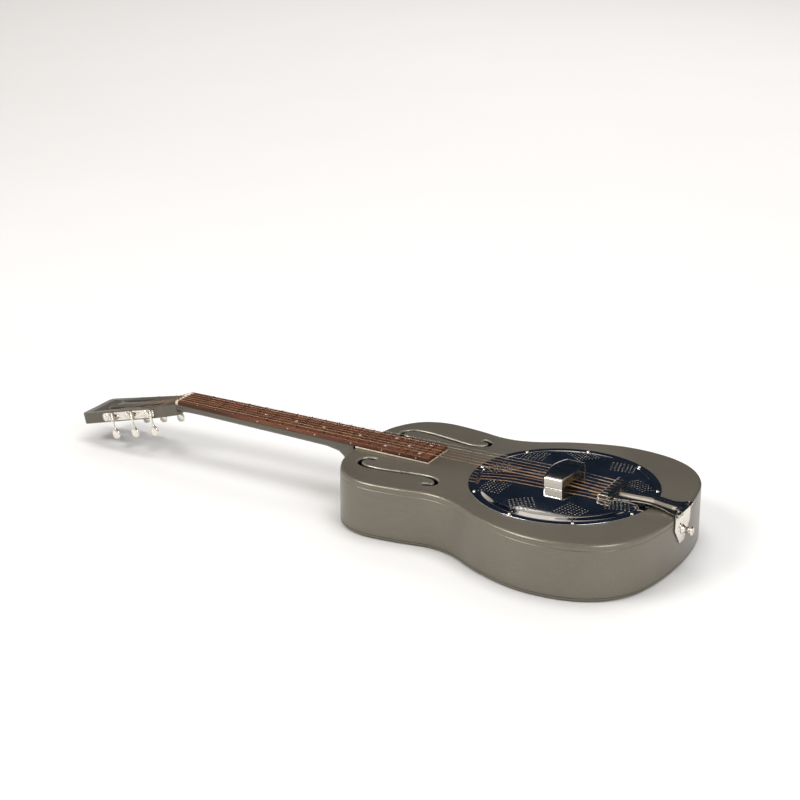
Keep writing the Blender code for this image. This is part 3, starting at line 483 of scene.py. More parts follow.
def refined(node, width, segments=2, angle=50.0, subdivide=0):
    """A copy of a CAD node with rounded edges, standing for the node."""
    bm = bmesh.new()
    bm.from_mesh(frame["nodes"][node].data)
    bmesh.ops.remove_doubles(bm, verts=bm.verts, dist=0.005 * MM)
    bmesh.ops.dissolve_limit(bm, angle_limit=math.radians(0.5), verts=bm.verts, edges=bm.edges)
    obj = made(node + "_fine", bm)
    if subdivide:
        assign(obj.modifiers.new("smooth", "SUBSURF"), levels=subdivide, render_levels=subdivide)
    if width:
        bevel(obj, width, segments, angle)
    apply_modifiers(obj)
    settle(obj, NODE_SLOTS[node], frame["nodes"][node]["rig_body"], (node,))
    return obj


def bridge(bm, first, second, material=0):
    """A band of faces between two rings of the same length."""
    count = len(first)
    for i in range(count):
        j = (i + 1) % count
        bm.faces.new((first[i], second[i], second[j], first[j])).material_index = material


def loft(sections, closed_ends=True):
    bm = bmesh.new()
    rings = [[bm.verts.new(point) for point in section] for section in sections]
    for ring, following in zip(rings, rings[1:]):
        bridge(bm, ring, following)
    if closed_ends:
        bm.faces.new(rings[0][::-1])
        bm.faces.new(rings[-1])
    bmesh.ops.recalc_face_normals(bm, faces=bm.faces)
    return bm


def grid(rows):
    bm = bmesh.new()
    verts = [[bm.verts.new(point) for point in row] for row in rows]
    for row, following in zip(verts, verts[1:]):
        for i in range(len(row) - 1):
            bm.faces.new((row[i], following[i], following[i + 1], row[i + 1]))
    return bm


def tube(points, radii, sides=12):
    """A closed round tube through points, with a radius at each."""
    points = [Vector(point) for point in points]
    sections = []
    across = None
    for i, point in enumerate(points):
        along = (points[min(i + 1, len(points) - 1)] - points[max(i - 1, 0)]).normalized()
        if across is None:
            across = along.orthogonal().normalized()
        across = (across - along * across.dot(along)).normalized()
        up = along.cross(across)
        sections.append([point + (across * math.cos(a) + up * math.sin(a)) * radii[i]
                         for a in (2 * math.pi * k / sides for k in range(sides))])
    return loft(sections)


def circle(centre, radius, count):
    return [(centre[0] + radius * math.cos(2 * math.pi * k / count),
             centre[1] + radius * math.sin(2 * math.pi * k / count)) for k in range(count)]


def lathe(profile, matrix, steps):
    """A (radius, height) profile turned about a matrix's Z; a zero radius closes the piece."""
    bm = bmesh.new()
    rings = []
    for radius, height in profile:
        around = circle((0.0, 0.0), radius, steps) if radius else [(0.0, 0.0)]
        rings.append([bm.verts.new(matrix @ Vector((x, y, height))) for x, y in around])
    for ring, following in zip(rings, rings[1:]):
        for k in range(steps):
            j = (k + 1) % steps
            corners = [ring[k % len(ring)], ring[j % len(ring)],
                       following[j % len(following)], following[k % len(following)]]
            unique = list(dict.fromkeys(corners))
            if len(unique) > 2:
                bm.faces.new(unique)
    bmesh.ops.recalc_face_normals(bm, faces=bm.faces)
    return bm


def rod(radius, top, bottom, matrix, steps):
    """A plain cylinder along a matrix's Z."""
    return lathe([(0.0, top), (radius, top), (radius, bottom), (0.0, bottom)], matrix, steps)


def boolean(obj, other, operation):
    """Join a helper object to an object, or cut it away; the helper is then removed."""
    assign(obj.modifiers.new("shape", "BOOLEAN"), operation=operation, solver="EXACT",
           object=other)
    apply_modifiers(obj)
    bpy.data.objects.remove(other, do_unlink=True)


def box_mesh(size, centre):
    bm = bmesh.new()
    bmesh.ops.create_cube(bm, size=1.0)
    bmesh.ops.scale(bm, vec=Vector(size), verts=bm.verts)
    bm.transform(Matrix.Translation(centre))
    return bm


# ---- flat plates with holes
def inside(points, loop):
    """Which 2D points lie inside a closed loop."""
    points = np.asarray(points)
    loop = np.asarray(loop)
    result = np.zeros(len(points), bool)
    x, y = points[:, 0], points[:, 1]
    for (x0, y0), (x1, y1) in zip(loop, np.roll(loop, -1, axis=0)):
        crosses = (y0 > y) != (y1 > y)
        if y0 != y1:
            result ^= crosses & (x < (x1 - x0) * (y - y0) / (y1 - y0) + x0)
    return result


def triangulate(outer, holes, extra=()):
    """Triangles of the area inside outer and outside every hole, as 2D points and index triples."""
    points, edges = [], []
    for loop in (outer, *holes):
        start = len(points)
        points.extend(loop)
        edges.extend((start + i, start + (i + 1) % len(loop)) for i in range(len(loop)))
    points.extend(extra)
    result = delaunay_2d_cdt([Vector(point) for point in points], edges, [], 0, 1e-7)
    found = np.array([tuple(v) for v in result[0]])
    triangles = np.array([tuple(face) for face in result[2]])
    middles = found[triangles].mean(axis=1)
    keep = inside(middles, outer)
    for hole in holes:
        hole = np.asarray(hole)
        low, high = hole.min(axis=0), hole.max(axis=0)
        near = np.all((middles > low) & (middles < high), axis=1) & keep
        if near.any():
            keep[np.flatnonzero(near)[inside(middles[near], hole)]] = False
    return found, triangles[keep]


def inset(outline, distance):
    moved = []
    for i, (x, y) in enumerate(outline):
        before = Vector(outline[i - 1])
        after = Vector(outline[(i + 1) % len(outline)])
        along = (after - before).normalized()
        moved.append((x - along.y * distance, y + along.x * distance))
    return moved


def body_outline():
    """The body's closed outline, anticlockwise seen from above."""
    steps = 6
    half = millimetres(BODY_HALF_OUTLINE)
    ring = half + [(x, -y) for x, y in half[-2:0:-1]]
    line = smooth_line([ring[-1], *ring, ring[0], ring[1]], steps)
    return line[steps:steps + len(ring) * steps][::-1]


def f_hole_outline(side):
    """An f-hole's outline, anticlockwise, with wider round ends."""
    line = [Vector((x, side * y)) for x, y in smooth_line(millimetres(F_HOLE_LINE), 5)]
    count = len(line)
    left, right = [], []
    for i, point in enumerate(line):
        along = (line[min(i + 1, count - 1)] - line[max(i - 1, 0)]).normalized()
        across = Vector((-along.y, along.x))
        near_end = max(0.0, 1.0 - 0.16 * min(i, count - 1 - i))
        half = (F_HOLE_WIDTH + (F_HOLE_END_WIDTH - F_HOLE_WIDTH) * near_end) / 2
        left.append(point + across * half)
        right.append(point - across * half)

    def cap(end, before):
        along = (end - before).normalized()
        across = Vector((-along.y, along.x))
        radius = F_HOLE_END_WIDTH / 2
        return [end + (across * math.cos(a) + along * 0.85 * math.sin(a)) * radius
                for a in (math.pi * k / 8 for k in range(1, 8))]

    outline = [*left, *cap(line[-1], line[-2]), *right[::-1], *cap(line[0], line[1])]
    area = sum(a.x * b.y - b.x * a.y for a, b in zip(outline, outline[1:] + outline[:1]))
    points = [tuple(point) for point in outline]
    return points if area > 0 else points[::-1]


def quarter(radius, steps):
    """(distance in from the edge, drop) along a quarter circle, from the flat to the side."""
    return [(radius * (1 - math.sin(a)), radius * (1 - math.cos(a)))
            for a in (math.pi / 2 * k / steps for k in range(steps + 1))]


def body_shell(name, node, face_z, toward, skirt, holes):
    """A pressed plate with a rolled edge; each hole is (outline, lip radius, depth)."""
    outline = body_outline()
    support = 0.4 * MM
    outer_flat = inset(outline, ROLL_RADIUS + support)
    flat_holes = [inset(hole, -(lip + support)) for hole, lip, _ in holes]
    points, triangles = triangulate(outer_flat, flat_holes)
    bm = bmesh.new()
    flat = [bm.verts.new(place(x, y, face_z)) for x, y in points]
    for triangle in triangles:
        bm.faces.new([flat[i] for i in triangle])

    def edge_loops(loop, profile, start, direction, material=0):
        """Rings that continue a flat loop down its rounded edge."""
        above = flat[start:start + len(loop)]
        for distance, drop in profile:
            ring = [bm.verts.new(place(x, y, face_z + toward * drop))
                    for x, y in inset(loop, distance * direction)]
            bridge(bm, above, ring, material)
            above = ring

    edge_loops(outline, quarter(ROLL_RADIUS, 8) + [(0.0, skirt)], 0, 1)
    start = len(outline)
    for hole, lip, depth in holes:
        profile = quarter(lip, 5) if lip else []
        edge_loops(hole, profile + [(0.0, depth)], start, -1, 1 if lip else 0)
        start += len(hole)
    bmesh.ops.recalc_face_normals(bm, faces=bm.faces)
    up = sum(face.normal.z * face.calc_area() for face in bm.faces if abs(face.normal.z) > 0.9)
    if up * -toward < 0:
        bmesh.ops.reverse_faces(bm, faces=bm.faces)
    obj = made(name, bm)
    obj.data.shade_smooth()
    solidify(obj, SHEET)
    apply_modifiers(obj)
    # the f-holes' rounded lip faces take the lighter finish: painted highlight
    edges = [polygon.index for polygon in obj.data.polygons if polygon.material_index]
    settle(obj, "body_finish", nodes=(node,))
    second_look(obj, "painted_lip_highlight", [obj.data.polygons[index] for index in edges])


def make_body():
    opening = circle((BRIDGE_X, 0.0), CONE_OPENING, 128)
    holes = [(f_hole_outline(side), F_HOLE_LIP, F_HOLE_LIP + 1.0 * MM) for side in (1, -1)]
    holes.insert(0, (opening, 0.0, 0.5 * MM))
    body_shell("body_top_pressed", "body_top", 0.0, -1, TOP_SKIRT, holes)
    body_shell("body_back_pressed", "body_back", -BODY_DEPTH, 1, BACK_SKIRT, [])

    outline = body_outline()
    upper = -TOP_SKIRT - GAP
    lower = BACK_SKIRT + GAP - BODY_DEPTH
    heights = (upper, upper - 0.4 * MM, lower + 0.4 * MM, lower)
    insets = (0.35 * MM, 0.0, 0.0, 0.35 * MM)
    rows = [[place(x, y, z) for x, y in inset(outline, distance)]
            for z, distance in zip(heights, insets)]
    sides = made("body_sides_band", loft(rows, closed_ends=False))
    solidify(sides, SHEET)
    apply_modifiers(sides)
    settle(sides, "body_finish", nodes=("body_sides",))


# ---- coverplate
def cover_height(radius):
    """Height of the coverplate's upper face: dome, rounded shoulder, flat flange."""
    flange = GAP + COVER_SHEET
    drop = COVER_CROWN - COVER_SHOULDER

    def dome(r):
        return COVER_CROWN - drop * (r / COVER_SHOULDER_RADIUS) ** 3

    if radius <= COVER_DOME_END:
        return dome(radius)
    if radius >= COVER_FLANGE_START:
        return flange
    t = (radius - COVER_DOME_END) / (COVER_FLANGE_START - COVER_DOME_END)
    fall = t * t * (3 - 2 * t)
    return dome(radius) * (1 - fall) + flange * fall


def cluster_angle(number):
    return math.pi + 2 * math.pi * number / COVER_SCREWS


def cover_holes():
    """Centres of the small holes: nine diamonds, one towards each screw."""
    centres = []
    steps = [(i - (CLUSTER_SIDE - 1) / 2) * CLUSTER_PITCH for i in range(CLUSTER_SIDE)]
    for number in range(COVER_SCREWS):
        angle = cluster_angle(number)
        out = Vector((math.cos(angle), math.sin(angle)))
        side = Vector((-out.y, out.x))
        for u, v in product(steps, steps):
            radial = CLUSTER_CENTRE + (u + v) / math.sqrt(2)
            centres.append(out * radial + side * ((u - v) / math.sqrt(2)))
    return centres


def rounded_rectangle(half_x, half_y, radius):
    steps = 5
    points = []
    for sx, sy, start in ((1, 1, 0), (-1, 1, 90), (-1, -1, 180), (1, -1, 270)):
        for k in range(steps + 1):
            angle = math.radians(start + 90 * k / steps)
            points.append((sx * (half_x - radius) + radius * math.cos(angle),
                           sy * (half_y - radius) + radius * math.sin(angle)))
    return points


def cover_grid(hole_centres, clearance):
    """Rings of points that carry the sheet's curve, clear of the small holes and the slot."""
    shoulder = np.linspace(COVER_DOME_END - 1.5 * MM, COVER_FLANGE_START + 0.7 * MM, 15)
    rings = [(k * 4.0 * MM, 192 if k > 15 else 64) for k in range(1, 29)]
    rings += [(radius, 432) for radius in (114.0 * MM, *shoulder)]
    rings += [(radius, 192) for radius in (127.5 * MM, 130.5 * MM)]
    points = np.array([point for radius, count in rings
                       for point in circle((0.0, 0.0), radius, count)])
    centres = np.array([tuple(centre) for centre in hole_centres])
    distance = np.linalg.norm(points[:, None, :] - centres[None, :, :], axis=2).min(axis=1)
    margin = 1.5 * MM
    in_slot = np.all(np.abs(points) < np.array(SADDLE_SLOT) + margin, axis=1)
    return [tuple(point) for point in points[(distance > clearance) & ~in_slot]]


def make_coverplate():
    centres = cover_holes()
    rim = CLUSTER_HOLE + HOLE_LIP
    holes = [circle(centre, rim, 12) for centre in centres]
    slot = rounded_rectangle(*SADDLE_SLOT, 3 * MM)
    outer = circle((0.0, 0.0), COVER_RADIUS - 0.3 * MM, 192)
    points, triangles = triangulate(outer, [slot, *holes], cover_grid(centres, rim * 1.2))
    bm = bmesh.new()

    def raised(x, y, drop):
        return bm.verts.new(place(BRIDGE_X + x, y, cover_height(math.hypot(x, y)) - drop))

    upper = [raised(x, y, 0.0) for x, y in points]
    lower = [raised(x, y, COVER_SHEET) for x, y in points]
    for a, b, c in triangles:
        bm.faces.new((upper[a], upper[b], upper[c]))
        bm.faces.new((lower[c], lower[b], lower[a]))

    def wall(start, loop, profile, direction):
        """Faces from a loop of the upper sheet, along a profile, to the same loop below."""
        count = len(loop)
        above = upper[start:start + count]
        for distance, drop in profile:
            ring = [raised(x, y, drop) for x, y in inset(loop, distance * direction)]
            bridge(bm, above, ring)
            above = ring
        bridge(bm, above, lower[start:start + count])

    wall(0, outer, [(-0.22 * MM, 0.1 * MM), (-0.3 * MM, 0.3 * MM), (-0.3 * MM, 0.6 * MM)], 1)
    start = len(outer)
    wall(start, slot, [], -1)
    start += len(slot)
    broad_faces = 2 * len(triangles)
    plain_faces = len(bm.faces)
    lip = [(-HOLE_LIP * math.sin(a), HOLE_LIP * (1 - math.cos(a)))
           for a in (math.pi / 6, math.pi / 3, math.pi / 2)]
    for hole in holes:
        wall(start, hole, lip, -1)
        start += len(hole)
    bmesh.ops.recalc_face_normals(bm, faces=bm.faces)
    plate = made("coverplate_pierced", bm)
    settle(plate, "chrome_plate", nodes=("coverplate",), smooth=None)
    second_look(plate, "punched_edge", plate.data.polygons[plain_faces:])
    plate.data.shade_smooth()
    set_dome_normals(plate.data, broad_faces)


def set_dome_normals(mesh, broad_faces):
    """Exact normals on the plate's broad faces, which come first, so that reflections run true."""
    step = 0.05 * MM
    centre = place(BRIDGE_X, 0.0, 0.0)
    normals = [corner.vector.copy() for corner in mesh.corner_normals]
    for polygon in mesh.polygons[:broad_faces]:
        for loop in polygon.loop_indices:
            offset = mesh.vertices[mesh.loops[loop].vertex_index].co - centre
            radius = max(offset.xy.length, 1e-6)
            rise = cover_height(radius + step) - cover_height(max(radius - step, 0.0))
            slope = rise / (2 * step)
            normal = Vector((-slope * offset.x / radius, -slope * offset.y / radius, 1.0))
            normals[loop] = normal.normalized() * math.copysign(1.0, polygon.normal.z)
    mesh.normals_split_custom_set(normals)


SCREWS = {  # head radius, head height, slot width and shank length, in millimetres
    "cover": (2.4, 1.7, 0.7, 1.6), "gear": (2.1, 1.0, 0.6, 0.2), "plate": (1.9, 1.1, 0.5, 0.8)}


def screw(name, kind, matrix, body="guitar"):
    """A round-headed screw with a straight slot, standing on the matrix's XY plane."""
    head_radius, head_height, slot_width, shank = (size * MM for size in SCREWS[kind])
    profile = [(0.0, head_height)]
    for k in range(1, 7):
        angle = math.pi / 2 * k / 6
        profile.append((head_radius * math.sin(angle), head_height * math.cos(angle) ** 0.8))
    neck = head_radius * 0.45
    under = -0.05 * MM
    profile += [(head_radius * 0.96, under), (neck, under), (neck, -shank), (0.0, -shank)]
    obj = made(name, lathe(profile, Matrix.Identity(4), 20))
    slot = box_mesh((3 * head_radius, slot_width, head_height), (0, 0, head_height))
    boolean(obj, made("slot", slot), "DIFFERENCE")
    obj.data.transform(matrix)
    settle(obj, "nickel", body)


def make_cover_screws():
    for k in range(COVER_SCREWS):
        angle = cluster_angle(k)
        x = BRIDGE_X + COVER_SCREW_CIRCLE * math.cos(angle)
        y = COVER_SCREW_CIRCLE * math.sin(angle)
        seat = Matrix.Translation(place(x, y, GAP + COVER_SHEET + 0.06 * MM))
        turn = Matrix.Rotation(angle * 2.7, 4, "Z")
        screw("coverplate_screw_%d" % (k + 1), "cover", seat @ turn)


# ---- palm rest
def make_palm_rest():
    half_y = 38.0 * MM
    top = 26.5 * MM
    crown = 2.0 * MM
    leg_half, mid_half = 13.5 * MM, 19.5 * MM
    corner = 4.0 * MM
    foot = cover_height(half_y) + GAP
    leg_top = top - crown - corner
    path = [(half_y, foot + (leg_top - foot) * k / 4) for k in range(5)]
    for k in range(1, 9):
        angle = math.pi / 2 * k / 8
        path.append((half_y - corner * (1 - math.cos(angle)), leg_top + corner * math.sin(angle)))
    for k in range(1, 9):
        across = 1 - k / 8
        path.append(((half_y - corner) * across, top - crown * across ** 2))
    whole = path + [(-y, z) for y, z in reversed(path[:-1])]
    rows = []
    for y, z in whole:
        half = leg_half + (mid_half - leg_half) * math.cos(math.pi / 2 * min(1.0, abs(y) / half_y))
        rows.append([place(BRIDGE_X + s * half, y, z) for s in np.linspace(-1, 1, 13)])
    rest = made("palm_rest_formed", grid(rows))
    solidify(rest, 1.5 * MM)
    bevel(rest, 0.22 * MM, 3, 50.0)
    apply_modifiers(rest)
    settle(rest, "nickel", nodes=("palm_rest",))
    middle = place(BRIDGE_X, 0.0, foot)
    # faces turned in under the rest take the near-black steel: painted shade
    second_look(rest, "unpolished_painted_shade", [polygon for polygon in rest.data.polygons
                                     if polygon.normal.dot(middle - polygon.center) > 0])


# ---- tailpiece
TAIL_SHEET = 1.2 * MM
BALL_X, BALL_Z = 709.0 * MM, 11.35 * MM
ENTRY_X, ENTRY_Z = 703.0 * MM, 12.2 * MM  # where a string goes into the crossbar
NOSE_X, NOSE_RADIUS = 705.0 * MM, 2.65 * MM
BAR_HALF_WIDTH = 35.0 * MM
KEYHOLE_RADIUS, KEYHOLE_SLOT = 1.3 * MM, (12.5 * MM, 3.0 * MM, 6.0 * MM)
KNUCKLE_HALF_WIDTH, KNUCKLE_RADIUS, BORE_RADIUS = 11.5 * MM, 2.4 * MM, 1.5 * MM
STRAP_STATIONS = (  # (from the nut, half width, height, rib's half width, rib's rise)
    (719.0, 24.0, 8.3, 8.0, 1.2), (728.0, 22.0, 7.4, 8.6, 2.2), (742.0, 18.0, 7.0, 9.2, 2.9),
    (756.0, 15.8, 7.2, 9.4, 3.1), (770.0, 15.2, 7.2, 9.4, 3.0), (782.0, 15.8, 5.9, 9.2, 2.7),
    (792.0, 17.0, 4.4, 9.0, 3.0), (800.0, 20.0, 3.5, 8.8, 3.0), (806.0, 23.0, 3.6, 8.0, 2.4),
    (811.4, 26.0, 4.4, 3.0, 0.3))


def strap_sheet():
    """The strap's middle surface: flat flanges with a rounded rib between them."""
    rows = []
    for x, half, z, rib_half, rise in smooth_line(millimetres(STRAP_STATIONS), 5):
        inner = np.linspace(-rib_half, rib_half, 17)
        outer = np.linspace(rib_half, half, 4)[1:]
        rows.append([place(x, y, z + rise * max(0.0, 1 - (y / rib_half) ** 2))
                     for y in (*(-outer[::-1]), *inner, *outer)])
    return grid(rows)


def slotted_bar():
    """The folded crossbar, with a keyhole for each string's ball end."""
    fold = [(722.5 * MM, BALL_Z - NOSE_RADIUS)]
    for k in range(17):
        angle = math.radians(-90.0 - 180.0 * k / 16)
        fold.append((NOSE_X + NOSE_RADIUS * math.cos(angle),
                     BALL_Z + NOSE_RADIUS * math.sin(angle)))
    fold += [(712.0 * MM, BALL_Z + NOSE_RADIUS), (717.0 * MM, BALL_Z + 2.3 * MM),
             (720.5 * MM, BALL_Z + 1.2 * MM)]
    across = np.linspace(BAR_HALF_WIDTH, -BAR_HALF_WIDTH, 15)
    bar = made("crossbar", grid([[place(x, y, z) for y in across] for x, z in fold]))
    solidify(bar, TAIL_SHEET, 0.0)
    bevel(bar, 0.25 * MM, 2, 50.0)
    apply_modifiers(bar)
    for index in range(len(STRING_DIAMETERS)):
        y = string_y(index, SPACING_TAIL)
        seat = Matrix.Translation(place(712.5 * MM, y, 13.8 * MM))
        hole = rod(KEYHOLE_RADIUS, 4 * MM, -3 * MM, seat, 16)
        slot = box_mesh(KEYHOLE_SLOT, place(706.2 * MM, y, 13.4 * MM))
        for cutter in (hole, slot):
            boolean(bar, made("cutter", cutter), "DIFFERENCE")
    return bar


def make_tailpiece():
    strap = made("tailpiece_formed", strap_sheet())
    solidify(strap, TAIL_SHEET, 0.0)
    apply_modifiers(strap)
    tongue = box_mesh((6.0 * MM, 2 * KNUCKLE_HALF_WIDTH, TAIL_SHEET),
                      place(HINGE.x - NUT_X - 2.6 * MM, 0, 4.35 * MM))
    across = Matrix.Translation(HINGE) @ Z_ACROSS
    knuckle = rod(KNUCKLE_RADIUS, KNUCKLE_HALF_WIDTH, -KNUCKLE_HALF_WIDTH, across, 32)
    bore = rod(BORE_RADIUS, 15 * MM, -15 * MM, across, 24)
    boolean(strap, slotted_bar(), "UNION")
    boolean(strap, made("tongue", tongue), "UNION")
    boolean(strap, made("knuckle", knuckle), "UNION")
    boolean(strap, made("bore", bore), "DIFFERENCE")
    settle(strap, "nickel", "tailpiece", ("tailpiece",), 35.0)


BUTTON_LENGTH = 15.1 * MM
BUTTON_PROFILE = (  # (radius, distance out from the bracket), in millimetres
    (0.0, 14.4), (2.2, 14.5), (2.6, 14.9), (3.2, 15.1), (4.5, 14.95), (5.6, 14.4), (6.2, 13.7),
    (6.4, 12.9), (6.25, 12.1), (5.7, 11.4), (5.05, 10.7), (4.6, 9.9), (4.35, 8.4), (4.25, 6.5),
    (4.35, 4.6), (4.7, 3.4), (5.4, 2.3), (6.2, 1.4), (6.7, 0.8), (6.8, 0.3), (1.8, 0.3),
    (1.8, -19.0), (0.0, -19.0))


def make_strap_button():
    low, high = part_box("strap_button")
    end = Vector((high.x, 0.0, (low.z + high.z) / 2))
    outward = Matrix.Translation(end - Vector((BUTTON_LENGTH, 0, 0))) @ Z_TO_X
    button = made("strap_button_turned", lathe(millimetres(BUTTON_PROFILE), outward, 48))
    slot = box_mesh((1.6 * MM, 4.6 * MM, 0.7 * MM), end - Vector((0.7 * MM, 0, 0)))
    boolean(button, made("slot", slot), "DIFFERENCE")
    settle(button, "nickel", nodes=("strap_button",))


# ---- strings
BALL_PROFILE = (  # (radius, distance along), in millimetres
    (0.7, 1.7), (1.5, 1.75), (1.8, 1.5), (1.35, 0.9), (1.2, 0.0), (1.35, -0.9), (1.8, -1.5),
    (1.5, -1.75), (0.7, -1.7), (0.7, 1.7))


def string_number(index):
    return len(STRING_DIAMETERS) - index


def winding_place(index):
    """Where a string is wound: a point on its roller's axis, the axis, and the way up."""
    number = string_number(index)
    origin, axis = joint_line("roller_turn", number)
    along = ROLLER_WINDINGS[min(index, len(STRING_DIAMETERS) - 1 - index)] * MM
    return origin + axis * along, axis, -joint_line("key_turn", number)[1]


def string_path(index, radius, saddle):
    """Points from the roller over the nut to the saddle."""
    middle, _, up = winding_place(index)
    start = middle + up * (ROLLER_RADIUS + radius + 0.05 * MM)
    y = string_y(index, SPACING_NUT)
    z = STRING_BOTTOM_AT_NUT + radius
    over_nut = [place(-3 * MM, y, z - 0.05 * MM), place(-1.5 * MM, y, z), place(0.0, y, z),
                place(2 * MM, y, z + 0.02 * MM)]
    body = [over_nut[-1].lerp(saddle, t) for t in (0.25, 0.5, 0.75, 0.99)]
    return [start, start.lerp(place(-3 * MM, y, z), 0.97), *over_nut, *body, saddle]


def make_strings():
    for index, diameter in enumerate(STRING_DIAMETERS):
        number = string_number(index)
        radius = diameter * MM / 2
        slot = "wound_string" if index < WOUND_STRINGS else "plain_string"
        saddle = place(BRIDGE_X, string_y(index, SPACING_SADDLE), STRING_BOTTOM_AT_SADDLE + radius)
        path = string_path(index, radius, saddle)
        piece("string_%d_speaking" % number, tube(path, [radius] * len(path)), slot,
              nodes=("string_%d" % number,))
        make_string_tail(index, radius, saddle, slot)
        make_windings(index, radius, slot)


def make_string_tail(index, radius, saddle, slot):
    """The stretch behind the saddle, wrapped near its end, and the ball in the tailpiece."""
    number = string_number(index)
    y = string_y(index, SPACING_TAIL)
    bend = place(BRIDGE_X + 1.5 * MM, saddle.y, saddle.z - TOP_Z - 0.03 * MM)
    entry = place(ENTRY_X, y, ENTRY_Z)
    ball = place(BALL_X, y, BALL_Z)
    wrap_start = 0.72
    wrap_radius = radius * 1.5 + 0.22 * MM
    points = [saddle + Vector((0.05 * MM, 0, 0)), bend]
    points += [bend.lerp(entry, t) for t in (0.2, 0.4, 0.6, wrap_start - 0.01, wrap_start)]
    radii = [radius] * (len(points) - 1) + [wrap_radius]
    for k in range(1, 15):
        points.append(bend.lerp(entry, wrap_start + (1 - wrap_start) * k / 14))
        radii.append(wrap_radius * (1.0 if k % 2 else 0.86))
    points.append(ball)
    radii.append(radius)
    tail = made("string_%d_tail" % number, tube(points, radii))
    tail.data.materials.append(MATERIALS[slot])
    tail.data.shade_smooth()
    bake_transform(tail)
    spool = Matrix.Translation(ball) @ Z_ACROSS
    piece("string_ball_%d" % number, lathe(millimetres(BALL_PROFILE), spool, 20), "wound_string",
          "tailpiece")


def make_windings(index, radius, slot):
    """A few turns of the string around its roller, turning with it."""
    number = string_number(index)
    middle, axis, up = winding_place(index)
    across = axis.cross(up)
    coil = ROLLER_RADIUS + radius + 0.03 * MM
    length = WINDING_TURNS * (2 * radius + 0.06 * MM)
    count = int(WINDING_TURNS * 24)
    points = []
    for k in range(count + 1):
        angle = 2 * math.pi * WINDING_TURNS * k / count
        points.append(middle + (up * math.cos(angle) + across * math.sin(angle)) * coil
                      + axis * (length * k / count))
    piece("string_%d_windings" % number, tube(points, [radius] * len(points), 8), slot,
          "roller_%d" % number)


# ---- fingerboard, frets, nut
FRET_SECTION = [(1.2, -0.02), (1.2, 0.05), (1.12, 0.45), (0.85, 0.8), (0.45, 0.98), (0.0, 1.05)]
DOT_FRETS = (5, 7, 9, 12, 15, 17, 19)
DOUBLE_DOT_FRETS = (15, 19)
DOUBLE_DOT_Y = 17.0 * MM
DOT_RADIUS = 2.1
DOT_PROFILE = (  # (radius, height above the wood), in millimetres
    (0.0, 0.05), (0.7 * DOT_RADIUS, 0.045), (0.96 * DOT_RADIUS, 0.03), (DOT_RADIUS, 0.0),
    (DOT_RADIUS, -1.2), (0.0, -1.2))
SIDE_DOT_PROFILE = ((0.0, 0.05), (1.0, 0.03), (1.1, 0.0), (1.1, -1.0), (0.0, -1.0))


def make_frets():
    crown = FRET_SECTION + [(-x, z) for x, z in FRET_SECTION[-2::-1]]
    for number in range(1, FRET_COUNT + 1):
        x = fret_x(number)
        half = board_half_width(x) - 0.2 * MM
        sections = []
        for y, size in ((-half, 0.55), (-half + 0.25 * MM, 0.82), (-half + 0.7 * MM, 1.0),
                        (half - 0.7 * MM, 1.0), (half - 0.25 * MM, 0.82), (half, 0.55)):
            sections.append([place(x + u * MM * (0.5 + 0.5 * size), y, board_top(x) + w * MM * size)
                             for u, w in crown])
        piece("fret_wire_%02d" % number, loft(sections), "fret_wire", nodes=("fret_%02d" % number,))


def make_inlays():
    tilt = Matrix.Rotation(math.atan(-BOARD_SLOPE), 4, "Y")
    for number in DOT_FRETS:
        x = (fret_x(number) + fret_x(number - 1)) / 2
        across = (-DOUBLE_DOT_Y, DOUBLE_DOT_Y) if number in DOUBLE_DOT_FRETS else (0.0,)
        for k, y in enumerate(across):
            seat = Matrix.Translation(place(x, y, board_top(x))) @ tilt
            piece("inlay_%02d_%d" % (number, k + 1), lathe(millimetres(DOT_PROFILE), seat, 32),
                  "ivory", look="pearl")
        side = Matrix.Translation(place(x, -board_half_width(x), board_top(x) - 3.0 * MM))
        piece("side_dot_%02d" % number, lathe(millimetres(SIDE_DOT_PROFILE), side @ Z_ACROSS, 20),
              "ivory", look="pearl")


def make_nut():
    nut = refined("nut", 0.5 * MM, 3, 35.0)
    for index, diameter in enumerate(STRING_DIAMETERS):
        radius = diameter * MM / 2 + 0.05 * MM
        middle = place(-2.5 * MM, string_y(index, SPACING_NUT), STRING_BOTTOM_AT_NUT + radius)
        groove = rod(radius, 5 * MM, -5 * MM, Matrix.Translation(middle) @ Z_TO_X, 12)
        boolean(nut, made("groove", groove), "DIFFERENCE")


# ---- tuners
GEAR_FACE, PLATE_FACE = 6.35 * MM, 1.5 * MM  # outwards from the rollers' origins


def seat_facing(point, direction):
    """A matrix at a point, with its Z along a direction."""
    return Matrix.Translation(point) @ direction.to_track_quat("Z", "Y").to_matrix().to_4x4()


def make_tuners():
    for number in range(1, len(STRING_DIAMETERS) + 1):
        refined("tuner_key_%d" % number, 0.0, subdivide=1)
        refined("tuner_roller_%d" % number, 0.12 * MM, 1)
        origin, axis = joint_line("roller_turn", number)
        seat = seat_facing(origin - axis * GEAR_FACE, -axis)
        screw("gear_screw_%d" % number, "gear", seat, "roller_%d" % number)
    for label, first, last in (("bass", 6, 4), ("treble", 1, 3)):
        make_plate_screws(label, first, last)


def make_plate_screws(label, first, last):
    """Four screws along a tuner plate, beyond and between its rollers."""
    start, axis = joint_line("roller_turn", first)
    end, _ = joint_line("roller_turn", last)
    along = (end - start).normalized()
    beyond, shift = 8.8 * MM, 2.0 * MM
    spots = (start - along * beyond, start.lerp(end, 0.25) + along * shift,
             start.lerp(end, 0.75) + along * shift, end + along * beyond)
    for k, spot in enumerate(spots):
        seat = seat_facing(spot - axis * PLATE_FACE, -axis) @ Matrix.Rotation(k * 1.3, 4, "Z")
        screw("tuner_screw_%s_%d" % (label, k + 1), "plate", seat)


# ---- carried-over CAD nodes
def finish_carried_nodes():
    for name, obj in frame["nodes"].items():
        if not obj.hide_render:
            dress(obj, NODE_SLOTS[name], 35.0)


